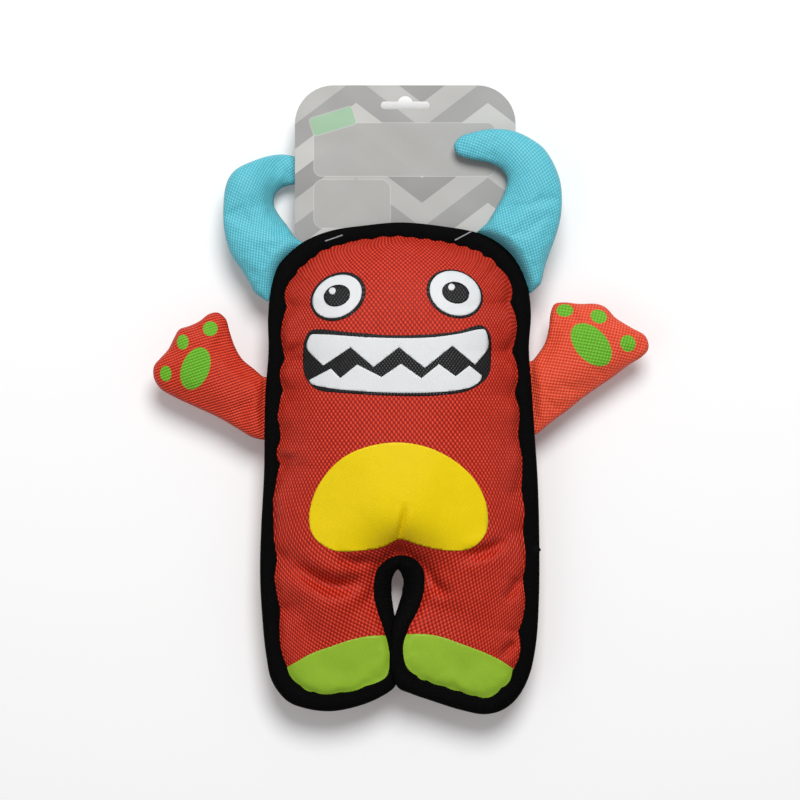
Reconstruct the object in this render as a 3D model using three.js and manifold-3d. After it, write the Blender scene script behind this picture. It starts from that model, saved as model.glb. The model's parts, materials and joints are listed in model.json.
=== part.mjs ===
// A stuffed squeaky dog toy that lies on its back: a flat nameless creature with two legs,
// two arms and two curled horns, edged with folded tape, and stapled to its header card.
// Millimetres, +X to the viewer's right, +Y towards the horns, +Z out of the face.
import * as THREE from "three";
import { mergeVertices } from "three/addons/utils/BufferGeometryUtils.js";
import { ConvexHull } from "three/addons/math/ConvexHull.js";
import Module from "manifold-3d";

const wasm = await Module();
wasm.setup();

// Body
const bodyWidth = 182;
const bodyLength = 321;
const bodyDepth = 58;
const bodyCloth = 0.8;
const restFlatDepth = 0.5;
const legCreaseDepth = 7;
const legCreaseWidth = 16;
const legCreaseShare = 0.67;

// Folded edge tape
const tapeLeaf = 11;
const tapeThickness = 0.9;
const tapeFoldRadius = 0.5;

// Limbs
const armReach = 73;
const armSwell = 8;
const hornReach = 58;
const hornSwell = 9;
const limbCloth = 0.5;
const limbSeamGap = 0.2;
const rootRamp = 15;
const rootTabDepth = 10;

// Films pressed on the front panel
const filmThickness = 0.3;
const eyeLength = 37.5;
const eyeHeight = 30.5;
const mouthWidth = 120;
const bellyWidth = 115;

// Header card and staples
const cardWidth = 144;
const cardHeight = 103;
const cardThickness = 0.5;
const cardTopRadius = 25;
const cardFootRadius = 7;
const cardOverlap = 14;
const cardSideShift = 3.6;
const cardPressStart = 0.9;
const cardPressRun = 15;
const slotWidth = 32;
const slotHeight = 5;
const slotHumpRadius = 5;
const slotHumpRise = 1;
const slotDrop = 13;
const stapleCrown = 12;
const stapleWire = 0.6;
const stapleWireWidth = 0.7;
const stapleClinch = 4;

// Squeaker
const squeakerRadius = 25;
const squeakerHeight = 26;
const squeakerPlate = 3.4;
const bellowsWall = 0.9;
const bellowsFoldDepth = 3.2;
const bellowsFolds = 4;
const reedTubeRadius = 5;
const reedTubeWall = 1.2;
const reedTubeLength = 11;
const reedTubeCollar = 1.5;
const reedPlugLength = 3;
const reedThickness = 0.4;
const reedWidth = 4.4;
const reedLength = 8;
const reedAirSlot = 1.2;
const reedSlotShare = 0.67;

// Running and lying clearances
const layGap = 0.3;
const halfGap = layGap / 2;
const cutOverrun = 3;

// Mesh counts
const edgeSteps = 2;
const swellDirections = 14;
const bodyInsetCount = 2;
const bodyInset = 5.5;
const bodyGridAcross = 9;
const bodyGridAlong = 17;
const armSteps = 30;
const hornSteps = 40;
const limbInset = 4;
const armGrid = 7;
const hornGrid = 9;
const roundSteps = 32;
const curveSteps = 5;
const gridNudgeShare = 0.11;
const rootShares = [0.25, 0.5, 0.75];
const insetKeepShare = 0.86;
const sliverShare = 1e-6;

// Colours
const red = 0xc8322a;
const black = 0x0b0b0d;
const turquoise = 0x5ac8d7;
const fibreWhite = 0xf0efe9;
const clearPlastic = 0xdfe6ea;
const filmWhite = 0xdfe3e6;
const filmYellow = 0xe8d014;
const filmGreen = 0x8cb738;
const cardGrey = 0xb9b9b6;
const steel = 0xb8bcc0;

// Where the photographed body lies in its picture, which fixes the scale of its outline
const bodyPixels = { left: 260, right: 539.5, top: 221.5, foot: 715 };
const acrossPitch = bodyWidth / (bodyPixels.right - bodyPixels.left);
const alongPitch = bodyLength / (bodyPixels.foot - bodyPixels.top);
const tapeLeafPixels = 17;

// Tape edge in pixels, anticlockwise from the top: fold x, fold y, inner edge x, inner edge y
const tapeEdgePixels = [
  [400, 222, 400, 237], [365, 225, 368, 239], [332, 230, 344, 244], [306, 240, 324, 250],
  [290, 252, 309, 261], [278, 266, 296, 273], [271, 288, 287, 290], [268, 318, 284, 319],
  [268.5, 350, 283, 352], [265.5, 392, 281, 392], [264.5, 432, 280, 431], [264, 472, 277, 471],
  [261, 530, 275, 530], [260, 575, 276, 575], [262, 615, 279.5, 614], [266, 655, 282, 651],
  [272, 682, 287.5, 670], [287, 701.5, 297, 683.5], [305, 709, 312, 692.5], [330, 712, 330, 694],
  [356, 707.5, 353, 691], [380, 698, 374.5, 683.5], [395.6, 686, 388, 675], [396.6, 665, 389.5, 660],
  [396.6, 645, 387.5, 645], [396, 627, 382.5, 628], [391.5, 607, 376.5, 606], [389.5, 590, 373.5, 585],
  [392, 576, 378.5, 567], [399, 570, 402.5, 555], [406.5, 576, 421, 566], [408.5, 590, 425, 583],
  [404.5, 607, 421, 606], [399.4, 627, 413, 627], [398.4, 645, 409.5, 642], [398.4, 665, 410, 658],
  [400, 687, 414, 672], [412, 694, 422, 679], [439, 704, 444, 687], [462, 711, 465, 693.5],
  [484, 715, 484, 698], [502, 711, 497, 693], [517, 699, 508, 682], [529, 677, 517, 661],
  [536, 645, 520, 638], [539, 600, 523.5, 597], [539.5, 550, 524, 548], [538, 485, 522, 484],
  [534.5, 430, 518.5, 430], [531.5, 385, 516, 384], [529, 348, 514.5, 349], [531, 312, 514, 313],
  [527, 284, 510.5, 288], [516, 260, 502, 270], [502, 245, 489, 258], [481, 233.5, 472, 249],
  [440, 225.5, 437, 241],
];

// Crease over the slot between the legs, from its head to its foot
const legCreasePixels = { x: 402, head: 505, foot: 552 };

// Arm and horn seams in pixels, from one end of the root line to the other
const leftArmPixels = [
  [263, 377], [254, 369], [242, 359], [234, 345], [229, 330], [225.5, 318.5], [217, 312], [208, 314],
  [199, 321], [188, 326], [179, 329], [174, 337], [168, 349], [160, 358], [153.5, 366], [153.5, 378],
  [160, 388.5], [172, 396], [193, 406], [217, 417], [241, 431], [251, 437], [262, 440],
];
const rightArmPixels = [
  [537.5, 434], [546, 427], [556, 419], [567, 411], [581, 399.5], [597, 388], [613, 377], [629, 365],
  [643, 356], [649, 348], [646, 336], [632, 327.5], [616, 317.5], [606, 307], [597, 303.5], [580, 303.5],
  [565, 302], [555, 303.5], [551, 312], [549, 328], [545.5, 342], [539.5, 352], [532.5, 361],
];
const leftHornPixels = [
  [294, 236], [287, 225], [278, 213], [273, 203], [274.5, 192], [282, 185], [294, 182], [306, 181],
  [317, 178], [321, 171], [314, 163], [296, 157.5], [283, 154.5], [270, 156], [251, 162.5], [234, 171],
  [226, 183], [223, 214], [225, 236], [232, 256], [243, 272], [255, 293],
];
const rightHornPixels = [
  [540.5, 284], [546, 262], [553, 243], [559, 224], [561.5, 203], [560, 182], [553, 163], [543, 148],
  [530, 138.5], [513, 131], [492, 129], [474, 132], [460, 137], [453.5, 146], [458, 155], [474, 160],
  [490, 163], [501, 169], [507, 179], [503, 195], [496, 208], [487, 223],
];
const armReachPixels = 112;
const hornReachPixels = 89;
const leftHornDip = { fromX: 238, toX: 290, fromY: 243, toY: 200, depth: 14.5 };
const rightHornRise = 9.6;

// Films in pixels
const leftEyePixels = { x: 339, y: 297.5, turn: 30 };
const rightEyePixels = { x: 454, y: 295, turn: -25 };
const mouthPixels = [
  [312, 331], [350, 333], [390, 336], [426, 335.4], [457, 332], [481, 326], [489, 335], [490, 357],
  [487, 376], [469, 390], [438, 395.4], [400, 396], [351, 393.6], [317, 389], [306, 376], [304, 355],
  [306, 339],
];
const bellyPixels = [
  [310, 520], [315, 494], [329, 471], [347, 455], [372, 445], [400, 442], [428, 447], [455, 461],
  [475, 481], [486, 507], [485, 532], [470, 547], [444, 549], [418, 543.5], [400, 538], [383, 546],
  [360, 549.5], [334, 549], [315, 536],
];
const mouthSpanPixels = 186;
const bellySpanPixels = 177;
const leftFootPixels = [
  [270, 676], [286, 668], [310, 654], [331, 646], [353, 639], [374, 635.5], [398, 637],
];
const rightFootPixels = [
  [398, 635.5], [418, 633.5], [439, 636], [460, 643], [480, 650.5], [500, 660], [530, 682],
];

// Staple crowns in pixels: middle and turn in degrees
const leftStaplePixels = { x: 334, y: 238.4, turn: 19 };
const rightStaplePixels = { x: 463, y: 236.2, turn: 28 };

// Squeaker's middle in pixels
const squeakerPixels = { x: 400, y: 425 };

// Levels, measured from the plane of the body's seam
const flangeTop = halfGap + bodyCloth;
const leafInner = flangeTop + layGap;
const leafOuter = leafInner + tapeThickness;
const limbRim = limbSeamGap / 2 + limbCloth;
const rootAxisLevel = -(leafOuter + layGap + limbRim);
const cardTopLevel = rootAxisLevel - limbRim - layGap;
const cardBackLevel = cardTopLevel - cardThickness;
const bodyRise = bodyDepth / 2 - flangeTop;
const cardFootLine = bodyLength / 2 - cardOverlap;

function bodyPoint(pixelX, pixelY) {
  const midX = (bodyPixels.left + bodyPixels.right) / 2;
  const midY = (bodyPixels.top + bodyPixels.foot) / 2;
  return new THREE.Vector2((pixelX - midX) * acrossPitch, (midY - pixelY) * alongPitch);
}

// Solids

function toSolid(geometry) {
  const bare = geometry.index ? geometry.toNonIndexed() : geometry.clone();
  bare.deleteAttribute("normal");
  bare.deleteAttribute("uv");
  const merged = mergeVertices(bare, 1e-4);
  const mesh = new wasm.Mesh({
    numProp: 3,
    vertProperties: new Float32Array(merged.attributes.position.array),
    triVerts: new Uint32Array(merged.index.array),
  });
  return new wasm.Manifold(mesh);
}

function toGeometry(solid) {
  const mesh = solid.getMesh();
  const geometry = new THREE.BufferGeometry();
  geometry.setAttribute("position", new THREE.BufferAttribute(new Float32Array(mesh.vertProperties), 3));
  geometry.setIndex(new THREE.BufferAttribute(new Uint32Array(mesh.triVerts), 1));
  geometry.computeVertexNormals();
  return geometry;
}

function prism(outline, low, high) {
  const shape = new THREE.Shape(outline);
  const geometry = new THREE.ExtrudeGeometry(shape, { depth: high - low, bevelEnabled: false });
  geometry.translate(0, 0, low);
  return geometry;
}

function lathed(profile) {
  const geometry = new THREE.LatheGeometry(profile.map(([r, z]) => new THREE.Vector2(r, z)), roundSteps);
  return geometry.rotateX(Math.PI / 2);
}

function plate(width, depth, low, high) {
  const geometry = new THREE.BoxGeometry(width, depth, high - low);
  return geometry.translate(0, 0, (high + low) / 2);
}

function named(name, geometry, colour, roughness, metalness = 0) {
  const material = new THREE.MeshStandardMaterial({ color: colour, roughness, metalness });
  const mesh = new THREE.Mesh(geometry, material);
  mesh.name = name;
  return mesh;
}

// Outlines

function curvePoints(points, count, closed) {
  const anchors = points.map((point) => new THREE.Vector3(point.x, point.y, 0));
  const curve = new THREE.CatmullRomCurve3(anchors, closed, "centripetal");
  const places = [];
  for (let i = 0; i < count; i += 1) {
    const point = curve.getPoint(closed ? i / count : i / (count - 1));
    places.push(new THREE.Vector2(point.x, point.y));
  }
  return places;
}

function stepped(from, towards, distance) {
  return towards.clone().sub(from).setLength(distance).add(from);
}

// Moves an anticlockwise outline inwards, and drops the points that come too near its far sides
function insetPoints(outline, distance, every = 1) {
  const kept = [];
  for (let i = 0; i < outline.length; i += every) {
    const before = outline[(i + outline.length - 1) % outline.length];
    const after = outline[(i + 1) % outline.length];
    const along = after.clone().sub(before).normalize();
    const moved = new THREE.Vector2(-along.y, along.x).multiplyScalar(distance).add(outline[i]);
    if (isInside(moved, outline) && edgeDistance(moved, outline) > distance * insetKeepShare) {
      kept.push(moved);
    }
  }
  return kept;
}

function isInside(point, outline) {
  let inside = false;
  outline.forEach((a, i) => {
    const b = outline[(i + 1) % outline.length];
    const crosses = (a.y > point.y) !== (b.y > point.y);
    if (crosses && point.x < ((b.x - a.x) * (point.y - a.y)) / (b.y - a.y) + a.x) {
      inside = !inside;
    }
  });
  return inside;
}

function edgeDistance(point, outline) {
  let nearest = Infinity;
  outline.forEach((a, i) => {
    const side = outline[(i + 1) % outline.length].clone().sub(a);
    const share = THREE.MathUtils.clamp(point.clone().sub(a).dot(side) / side.lengthSq(), 0, 1);
    nearest = Math.min(nearest, point.distanceTo(side.multiplyScalar(share).add(a)));
  });
  return nearest;
}

// Evenly spread points well inside an outline, each nudged so that no four lie on one circle
function gridPoints(outline, across, along, margin) {
  const box = new THREE.Box2().setFromPoints(outline);
  const size = box.getSize(new THREE.Vector2());
  const cell = new THREE.Vector2(size.x / across, size.y / along);
  const kept = [];
  for (let row = 0; row < along; row += 1) {
    for (let column = 0; column < across; column += 1) {
      const wave = row * across + column;
      const shift = (row % 2) / 2 + gridNudgeShare * Math.sin(wave * 2);
      const rise = gridNudgeShare * Math.cos(wave * 3);
      const x = box.min.x + cell.x * (column + 1 / 4 + shift);
      const y = box.min.y + cell.y * (row + 1 / 2 + rise);
      const point = new THREE.Vector2(x, y);
      if (isInside(point, outline) && edgeDistance(point, outline) > margin) {
        kept.push(point);
      }
    }
  }
  return kept;
}

// Delaunay triangles of flat points: the lower side of the hull of the points on a paraboloid
function flatTriangles(points) {
  const box = new THREE.Box2().setFromPoints(points);
  const middle = box.getCenter(new THREE.Vector2());
  const reach = box.getSize(new THREE.Vector2()).length();
  const lifted = points.map((point, index) => {
    const x = (point.x - middle.x) / reach;
    const y = (point.y - middle.y) / reach;
    return Object.assign(new THREE.Vector3(x, y, x * x + y * y), { index });
  });
  const hull = new ConvexHull().setFromPoints(lifted);
  const lower = hull.faces.filter((face) => face.normal.z < 0);
  return lower.map((face) => [2, 1, 0].map((corner) => face.getEdge(corner).head().point.index));
}

// A plan: paired rings from the outside in, then the area within the last of them
function makePlan(rings, inner) {
  const count = rings[0].length;
  const points = [...rings.flat(), ...inner];
  const triangles = [];
  for (let ring = 0; ring + 1 < rings.length; ring += 1) {
    for (let i = 0; i < count; i += 1) {
      const a = ring * count + i;
      const b = ring * count + ((i + 1) % count);
      triangles.push([a, b, b + count], [a, b + count, a + count]);
    }
  }
  const last = rings.length - 1;
  const core = [...rings[last], ...inner];
  flatTriangles(core).forEach((corners) => {
    const [a, b, c] = corners.map((corner) => core[corner]);
    const centre = a.clone().add(b).add(c).divideScalar(3);
    const spread = b.clone().sub(a).cross(c.clone().sub(a));
    if (spread > sliverShare * a.distanceToSquared(b) && isInside(centre, rings[last])) {
      triangles.push(corners.map((corner) => corner + last * count));
    }
  });
  return { points, triangles, rim: count };
}

// A closed sheet or pad over a plan, between two lists of levels
function makeSheet(plan, tops, bottoms) {
  const total = plan.points.length;
  const positions = [];
  [tops, bottoms].forEach((levels) => {
    plan.points.forEach((point, i) => positions.push(point.x, point.y, levels[i]));
  });
  const indices = [];
  plan.triangles.forEach(([a, b, c]) => {
    indices.push(a, b, c, a + total, c + total, b + total);
  });
  for (let i = 0; i < plan.rim; i += 1) {
    const next = (i + 1) % plan.rim;
    indices.push(i, i + total, next + total, i, next + total, next);
  }
  const geometry = new THREE.BufferGeometry();
  geometry.setAttribute("position", new THREE.Float32BufferAttribute(positions, 3));
  geometry.setIndex(indices);
  geometry.computeVertexNormals();
  return geometry;
}

// The part of a plan where the lower levels stay under the upper ones
function padBetween(plan, tops, bottoms) {
  const under = makeSheet(plan, tops, tops.map((level) => Math.min(level, 0) - bodyDepth));
  const over = makeSheet(plan, bottoms.map((level) => Math.max(level, 0) + bodyDepth), bottoms);
  return toSolid(under).intersect(toSolid(over));
}

// How stuffing lifts a sewn plan, from 0 at the seam to 1 where it is widest. Each line through
// a point counts by the product of its two ways to the seam, as on a blown membrane.
function swellShares(points, seam, seamCount) {
  const powers = points.map((point, index) => {
    if (index < seamCount) {
      return 0;
    }
    let sum = 0;
    for (let k = 0; k < swellDirections; k += 1) {
      const angle = (Math.PI * (k + 1 / 3)) / swellDirections;
      sum += 1 / chordProduct(point, Math.cos(angle), Math.sin(angle), seam);
    }
    return swellDirections / sum;
  });
  const most = Math.max(...powers);
  return powers.map((power) => Math.sqrt(power / most));
}

function chordProduct(point, dirX, dirY, seam) {
  let ahead = Infinity;
  let behind = Infinity;
  seam.forEach((a, i) => {
    const b = seam[(i + 1) % seam.length];
    const sideA = (a.x - point.x) * dirY - (a.y - point.y) * dirX;
    const sideB = (b.x - point.x) * dirY - (b.y - point.y) * dirX;
    if (sideA > 0 === sideB > 0) {
      return;
    }
    const share = sideA / (sideA - sideB);
    const x = a.x + (b.x - a.x) * share - point.x;
    const y = a.y + (b.y - a.y) * share - point.y;
    const way = x * dirX + y * dirY;
    if (way > 0) {
      ahead = Math.min(ahead, way);
    } else {
      behind = Math.min(behind, -way);
    }
  });
  return ahead * behind;
}

// Body edge rings, in tape order from the fold inwards
const edgeCount = tapeEdgePixels.length * edgeSteps;
const foldAnchors = tapeEdgePixels.map(([x, y]) => bodyPoint(x, y));
const leafAnchors = tapeEdgePixels.map(([x, y, innerX, innerY], i) => {
  const pixels = Math.hypot(innerX - x, innerY - y);
  const leaf = (pixels * tapeLeaf) / tapeLeafPixels;
  return stepped(foldAnchors[i], bodyPoint(innerX, innerY), leaf);
});
const foldRing = curvePoints(foldAnchors, edgeCount, true);
const leafRing = curvePoints(leafAnchors, edgeCount, true);
const clothRing = foldRing.map((fold, i) => stepped(fold, leafRing[i], tapeThickness + layGap));

const nearInset = insetPoints(leafRing, bodyInset);
const farInset = insetPoints(leafRing, bodyInset * bodyInsetCount, 2);
const bodyGrid = gridPoints(leafRing, bodyGridAcross, bodyGridAlong, bodyInset * (bodyInsetCount + 1));
const bodyInner = [...nearInset, ...farInset, ...bodyGrid];

function legCrease(point) {
  const head = bodyPoint(legCreasePixels.x, legCreasePixels.head);
  const foot = bodyPoint(legCreasePixels.x, legCreasePixels.foot);
  const run = THREE.MathUtils.smoothstep(-point.y, -head.y, -foot.y);
  const aside = (point.x - head.x) / legCreaseWidth;
  const below = Math.max(0, (foot.y - point.y) / legCreaseWidth);
  return legCreaseDepth * run * Math.exp(-aside * aside - below * below);
}

// The card presses the back flat down to its foot, so the back swells only below it
function cardPress(point) {
  return THREE.MathUtils.smoothstep(cardFootLine - cardPressStart - point.y, 0, cardPressRun);
}

function bodyHeights(points, seamCount, isBack) {
  return swellShares(points, leafRing, seamCount).map((share, i) => {
    const dent = Math.min(legCrease(points[i]), bodyRise * share * legCreaseShare);
    const press = isBack ? cardPress(points[i]) : 1;
    return (bodyRise * share - dent) * press;
  });
}

const bodyPlan = makePlan([clothRing, leafRing], bodyInner);
const bodySeamCount = 2 * edgeCount;
const frontHeights = bodyHeights(bodyPlan.points, bodySeamCount, false);
const backHeights = bodyHeights(bodyPlan.points, bodySeamCount, true);

function staple(name, pixels) {
  const middle = bodyPoint(pixels.x, pixels.y);
  const half = stapleCrown / 2;
  const high = leafOuter + layGap + stapleWire;
  const low = cardBackLevel - layGap - stapleWire;
  const outer = [[-half, low], [-half, high], [half, high], [half, low]];
  const tongue = half - stapleClinch;
  const inner = [
    [tongue, low], [tongue, low + stapleWire], [half - stapleWire, low + stapleWire],
    [half - stapleWire, high - stapleWire], [stapleWire - half, high - stapleWire],
    [stapleWire - half, low + stapleWire], [-tongue, low + stapleWire], [-tongue, low],
  ];
  const outline = [...outer, ...inner].map(([x, z]) => new THREE.Vector2(x, z));
  const geometry = prism(outline, -stapleWireWidth / 2, stapleWireWidth / 2);
  const mesh = named(name, geometry.rotateX(Math.PI / 2), steel, 0.3, 1);
  mesh.position.set(middle.x, middle.y, 0);
  mesh.rotation.z = THREE.MathUtils.degToRad(pixels.turn);
  return mesh;
}

function stapleHoles() {
  const size = stapleWireWidth + 2 * layGap;
  const reach = (stapleCrown - stapleWire) / 2;
  const holes = [leftStaplePixels, rightStaplePixels].flatMap((pixels) => [-reach, reach].map((side) => {
    const middle = bodyPoint(pixels.x, pixels.y);
    const hole = plate(size, size, -bodyDepth, bodyDepth).translate(side, 0, 0);
    hole.rotateZ(THREE.MathUtils.degToRad(pixels.turn)).translate(middle.x, middle.y, 0);
    return toSolid(hole);
  }));
  return holes.reduce((all, hole) => all.add(hole));
}

const holes = stapleHoles();

function bodyFrontPanel() {
  const tops = frontHeights.map((height) => flangeTop + height);
  const bottoms = frontHeights.map((height) => halfGap + height);
  return toGeometry(toSolid(makeSheet(bodyPlan, tops, bottoms)).subtract(holes));
}

function bodyBackPanel() {
  const tops = backHeights.map((height) => -halfGap - height);
  const bottoms = backHeights.map((height) => -flangeTop - height);
  const floor = plate(bodyWidth, bodyLength, -bodyDepth, restFlatDepth - bodyDepth / 2);
  const panel = toSolid(makeSheet(bodyPlan, tops, bottoms));
  return toGeometry(panel.subtract(holes).subtract(toSolid(floor)));
}

// The tape's U section, as ways in from the fold and levels
function edgeBinding() {
  const round = tapeFoldRadius;
  const atLeafEdge = Infinity;
  const section = [
    [atLeafEdge, leafOuter], [round, leafOuter], [0, leafOuter - round], [0, round - leafOuter],
    [round, -leafOuter], [atLeafEdge, -leafOuter], [atLeafEdge, -leafInner], [tapeThickness, -leafInner],
    [tapeThickness, leafInner], [atLeafEdge, leafInner],
  ];
  const positions = [];
  foldRing.forEach((fold, i) => {
    const leaf = leafRing[i].distanceTo(fold) - layGap;
    section.forEach(([way, level]) => {
      const point = stepped(fold, leafRing[i], Math.min(way, leaf));
      positions.push(point.x, point.y, level);
    });
  });
  const sides = section.length;
  const indices = [];
  for (let i = 0; i < edgeCount; i += 1) {
    const here = i * sides;
    const next = ((i + 1) % edgeCount) * sides;
    for (let corner = 0; corner < sides; corner += 1) {
      const other = (corner + 1) % sides;
      indices.push(here + corner, here + other, next + other);
      indices.push(here + corner, next + other, next + corner);
    }
  }
  const geometry = new THREE.BufferGeometry();
  geometry.setAttribute("position", new THREE.Float32BufferAttribute(positions, 3));
  geometry.setIndex(indices);
  return toGeometry(toSolid(geometry).subtract(holes));
}

// Stuffing, with a round pocket for the squeaker
const squeakerMiddle = bodyPoint(squeakerPixels.x, squeakerPixels.y);

function bodyWadding(isBack) {
  const side = isBack ? -1 : 1;
  const heights = isBack ? backHeights : frontHeights;
  const crowns = heights.map((height) => side * (height + halfGap - layGap));
  const floors = heights.map(() => side * halfGap);
  const pad = isBack ? padBetween(bodyPlan, floors, crowns) : padBetween(bodyPlan, crowns, floors);
  const pocketRadius = squeakerRadius + layGap;
  const pocketHalf = squeakerHeight / 2 + layGap;
  const pocket = lathed([
    [0, -pocketHalf], [pocketRadius, -pocketHalf], [pocketRadius, pocketHalf], [0, pocketHalf],
  ]);
  pocket.translate(squeakerMiddle.x, squeakerMiddle.y, 0);
  return toGeometry(pad.subtract(toSolid(pocket)));
}

// Pressed films: slices of a skin that lies just over the front panel

function filmSkin() {
  const tops = frontHeights.map((height) => flangeTop + height + layGap + filmThickness);
  const bottoms = frontHeights.map((height) => flangeTop + height + layGap);
  return toSolid(makeSheet(bodyPlan, tops, bottoms));
}

const skin = filmSkin();

function film(outline) {
  const cutter = toSolid(prism(outline, 0, bodyDepth));
  return toGeometry(skin.intersect(cutter));
}

function eyeOutline(pixels) {
  const middle = bodyPoint(pixels.x, pixels.y);
  const turn = THREE.MathUtils.degToRad(pixels.turn);
  const long = eyeLength / 2;
  const high = eyeHeight / 2;
  const curve = new THREE.EllipseCurve(middle.x, middle.y, long, high, 0, 2 * Math.PI, false, turn);
  return curve.getPoints(roundSteps).slice(1);
}

// An outline of pixels that keeps its middle on the body and takes its own width
function printOutline(pixels, spanPixels, width) {
  const box = new THREE.Box2().setFromPoints(pixels.map(([x, y]) => new THREE.Vector2(x, y)));
  const pixelMiddle = box.getCenter(new THREE.Vector2());
  const middle = bodyPoint(pixelMiddle.x, pixelMiddle.y);
  const pitch = width / spanPixels;
  const anchors = pixels.map(([x, y]) => new THREE.Vector2(
    middle.x + (x - pixelMiddle.x) * pitch,
    middle.y - (y - pixelMiddle.y) * pitch,
  ));
  return curvePoints(anchors, pixels.length * 2, true);
}

function footFilm(pixels) {
  const top = curvePoints(pixels.map(([x, y]) => bodyPoint(x, y)), pixels.length * 2, false);
  const last = top[top.length - 1];
  const below = -bodyLength / 2;
  const area = [...top, new THREE.Vector2(last.x, below), new THREE.Vector2(top[0].x, below)];
  const inside = insetPoints(leafRing, layGap);
  const cutter = toSolid(prism(area, 0, bodyDepth)).intersect(toSolid(prism(inside, 0, bodyDepth)));
  return toGeometry(skin.intersect(cutter));
}

// Limbs: each is built round the middle of its root line, where it is sewn to the edge

function limb(pixels, reach, reachPixels, swell, steps, grid) {
  const first = pixels[0];
  const last = pixels[pixels.length - 1];
  const rootPixels = [(first[0] + last[0]) / 2, (first[1] + last[1]) / 2];
  const root = bodyPoint(...rootPixels);
  const pitch = reach / reachPixels;
  const anchors = pixels.map(([x, y]) => new THREE.Vector2(
    (x - rootPixels[0]) * pitch,
    (rootPixels[1] - y) * pitch,
  ));
  const rootLine = anchors[0].clone().sub(anchors[anchors.length - 1]);
  const along = rootLine.clone().normalize();
  const outwards = new THREE.Vector2(-along.y, along.x);
  const seam = curvePoints(anchors, steps, false);
  const rootEnd = anchors[anchors.length - 1];
  const rootExtras = rootShares.map((share) => rootEnd.clone().addScaledVector(rootLine, share));
  const outline = [...seam, ...rootExtras];
  return { root, along, outwards, rootLength: rootLine.length(), outline, swell, grid };
}

function limbHeights(points, seamCount, part, ramp) {
  return swellShares(points, part.outline, seamCount).map((share, i) => {
    const out = Math.max(0, points[i].dot(part.outwards));
    return part.swell * share * Math.min(1, out / ramp);
  });
}

function limbPieces(name, part, lift, colour) {
  const near = insetPoints(part.outline, limbInset, 2);
  const inner = [...near, ...gridPoints(part.outline, part.grid, part.grid, 2 * limbInset)];
  const plan = makePlan([part.outline], inner);
  const heights = limbHeights(plan.points, part.outline.length, part, rootRamp);
  const mids = plan.points.map(lift);
  const seamHalf = limbSeamGap / 2;
  const sheets = [1, -1].map((side) => {
    const outer = heights.map((height, i) => mids[i] + side * (limbRim + height));
    const inside = heights.map((height, i) => mids[i] + side * (seamHalf + height));
    return side > 0 ? makeSheet(plan, outer, inside) : makeSheet(plan, inside, outer);
  });
  const fill = heights.map((height) => height + seamHalf - layGap);
  const fillTops = fill.map((half, i) => mids[i] + half);
  const fillBottoms = fill.map((half, i) => mids[i] - half);
  const wadding = toGeometry(padBetween(plan, fillTops, fillBottoms));
  const group = new THREE.Group();
  group.add(named(`${name}_front_panel`, sheets[0], colour, 0.6));
  group.add(named(`${name}_back_panel`, sheets[1], colour, 0.6));
  group.add(named(`${name}_wadding`, wadding, fibreWhite, 0.95));
  group.position.set(part.root.x, part.root.y, rootAxisLevel);
  return group;
}

// The doubled cloth that runs from the root line in behind the tape
function rootTab(name, part, colour) {
  const half = part.rootLength / 2 - limbCloth;
  const near = -(limbRim + layGap);
  const far = near - rootTabDepth;
  const corner = (side, out) =>
    part.along.clone().multiplyScalar(side).addScaledVector(part.outwards, out);
  const outline = [corner(half, near), corner(-half, near), corner(-half, far), corner(half, far)];
  const geometry = prism(outline, -limbRim, limbRim);
  const mesh = named(name, geometry, colour, 0.7);
  mesh.position.set(part.root.x, part.root.y, rootAxisLevel);
  return mesh;
}

// Header card

function headerCard() {
  const right = cardWidth / 2;
  const footEnd = right - cardFootRadius;
  const topEnd = right - cardTopRadius;
  const foot = cardFootLine;
  const footLevel = foot + cardFootRadius;
  const top = foot + cardHeight;
  const topLevel = top - cardTopRadius;
  const shape = new THREE.Shape();
  shape.moveTo(-footEnd, foot);
  shape.lineTo(footEnd, foot);
  shape.absarc(footEnd, footLevel, cardFootRadius, -Math.PI / 2, 0, false);
  shape.absarc(topEnd, topLevel, cardTopRadius, 0, Math.PI / 2, false);
  shape.absarc(-topEnd, topLevel, cardTopRadius, Math.PI / 2, Math.PI, false);
  shape.absarc(-footEnd, footLevel, cardFootRadius, Math.PI, (3 * Math.PI) / 2, false);
  const endRadius = slotHeight / 2;
  const slotEnd = slotWidth / 2 - endRadius;
  const level = top - slotDrop;
  const slot = new THREE.Path();
  slot.absarc(slotEnd, level, endRadius, -Math.PI / 2, Math.PI / 2, false);
  const humpHalf = Math.sqrt(slotHumpRadius ** 2 - (endRadius - slotHumpRise) ** 2);
  const humpAngle = Math.asin((endRadius - slotHumpRise) / slotHumpRadius);
  slot.lineTo(humpHalf, level + endRadius);
  slot.absarc(0, level + slotHumpRise, slotHumpRadius, humpAngle, Math.PI - humpAngle, false);
  slot.absarc(-slotEnd, level, endRadius, Math.PI / 2, (3 * Math.PI) / 2, false);
  shape.holes.push(slot);
  const settings = { depth: cardThickness, bevelEnabled: false, curveSegments: curveSteps };
  const geometry = new THREE.ExtrudeGeometry(shape, settings);
  geometry.translate(cardSideShift, 0, cardBackLevel);
  return toGeometry(toSolid(geometry).subtract(holes));
}

// Squeaker, upright in its pocket

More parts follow.
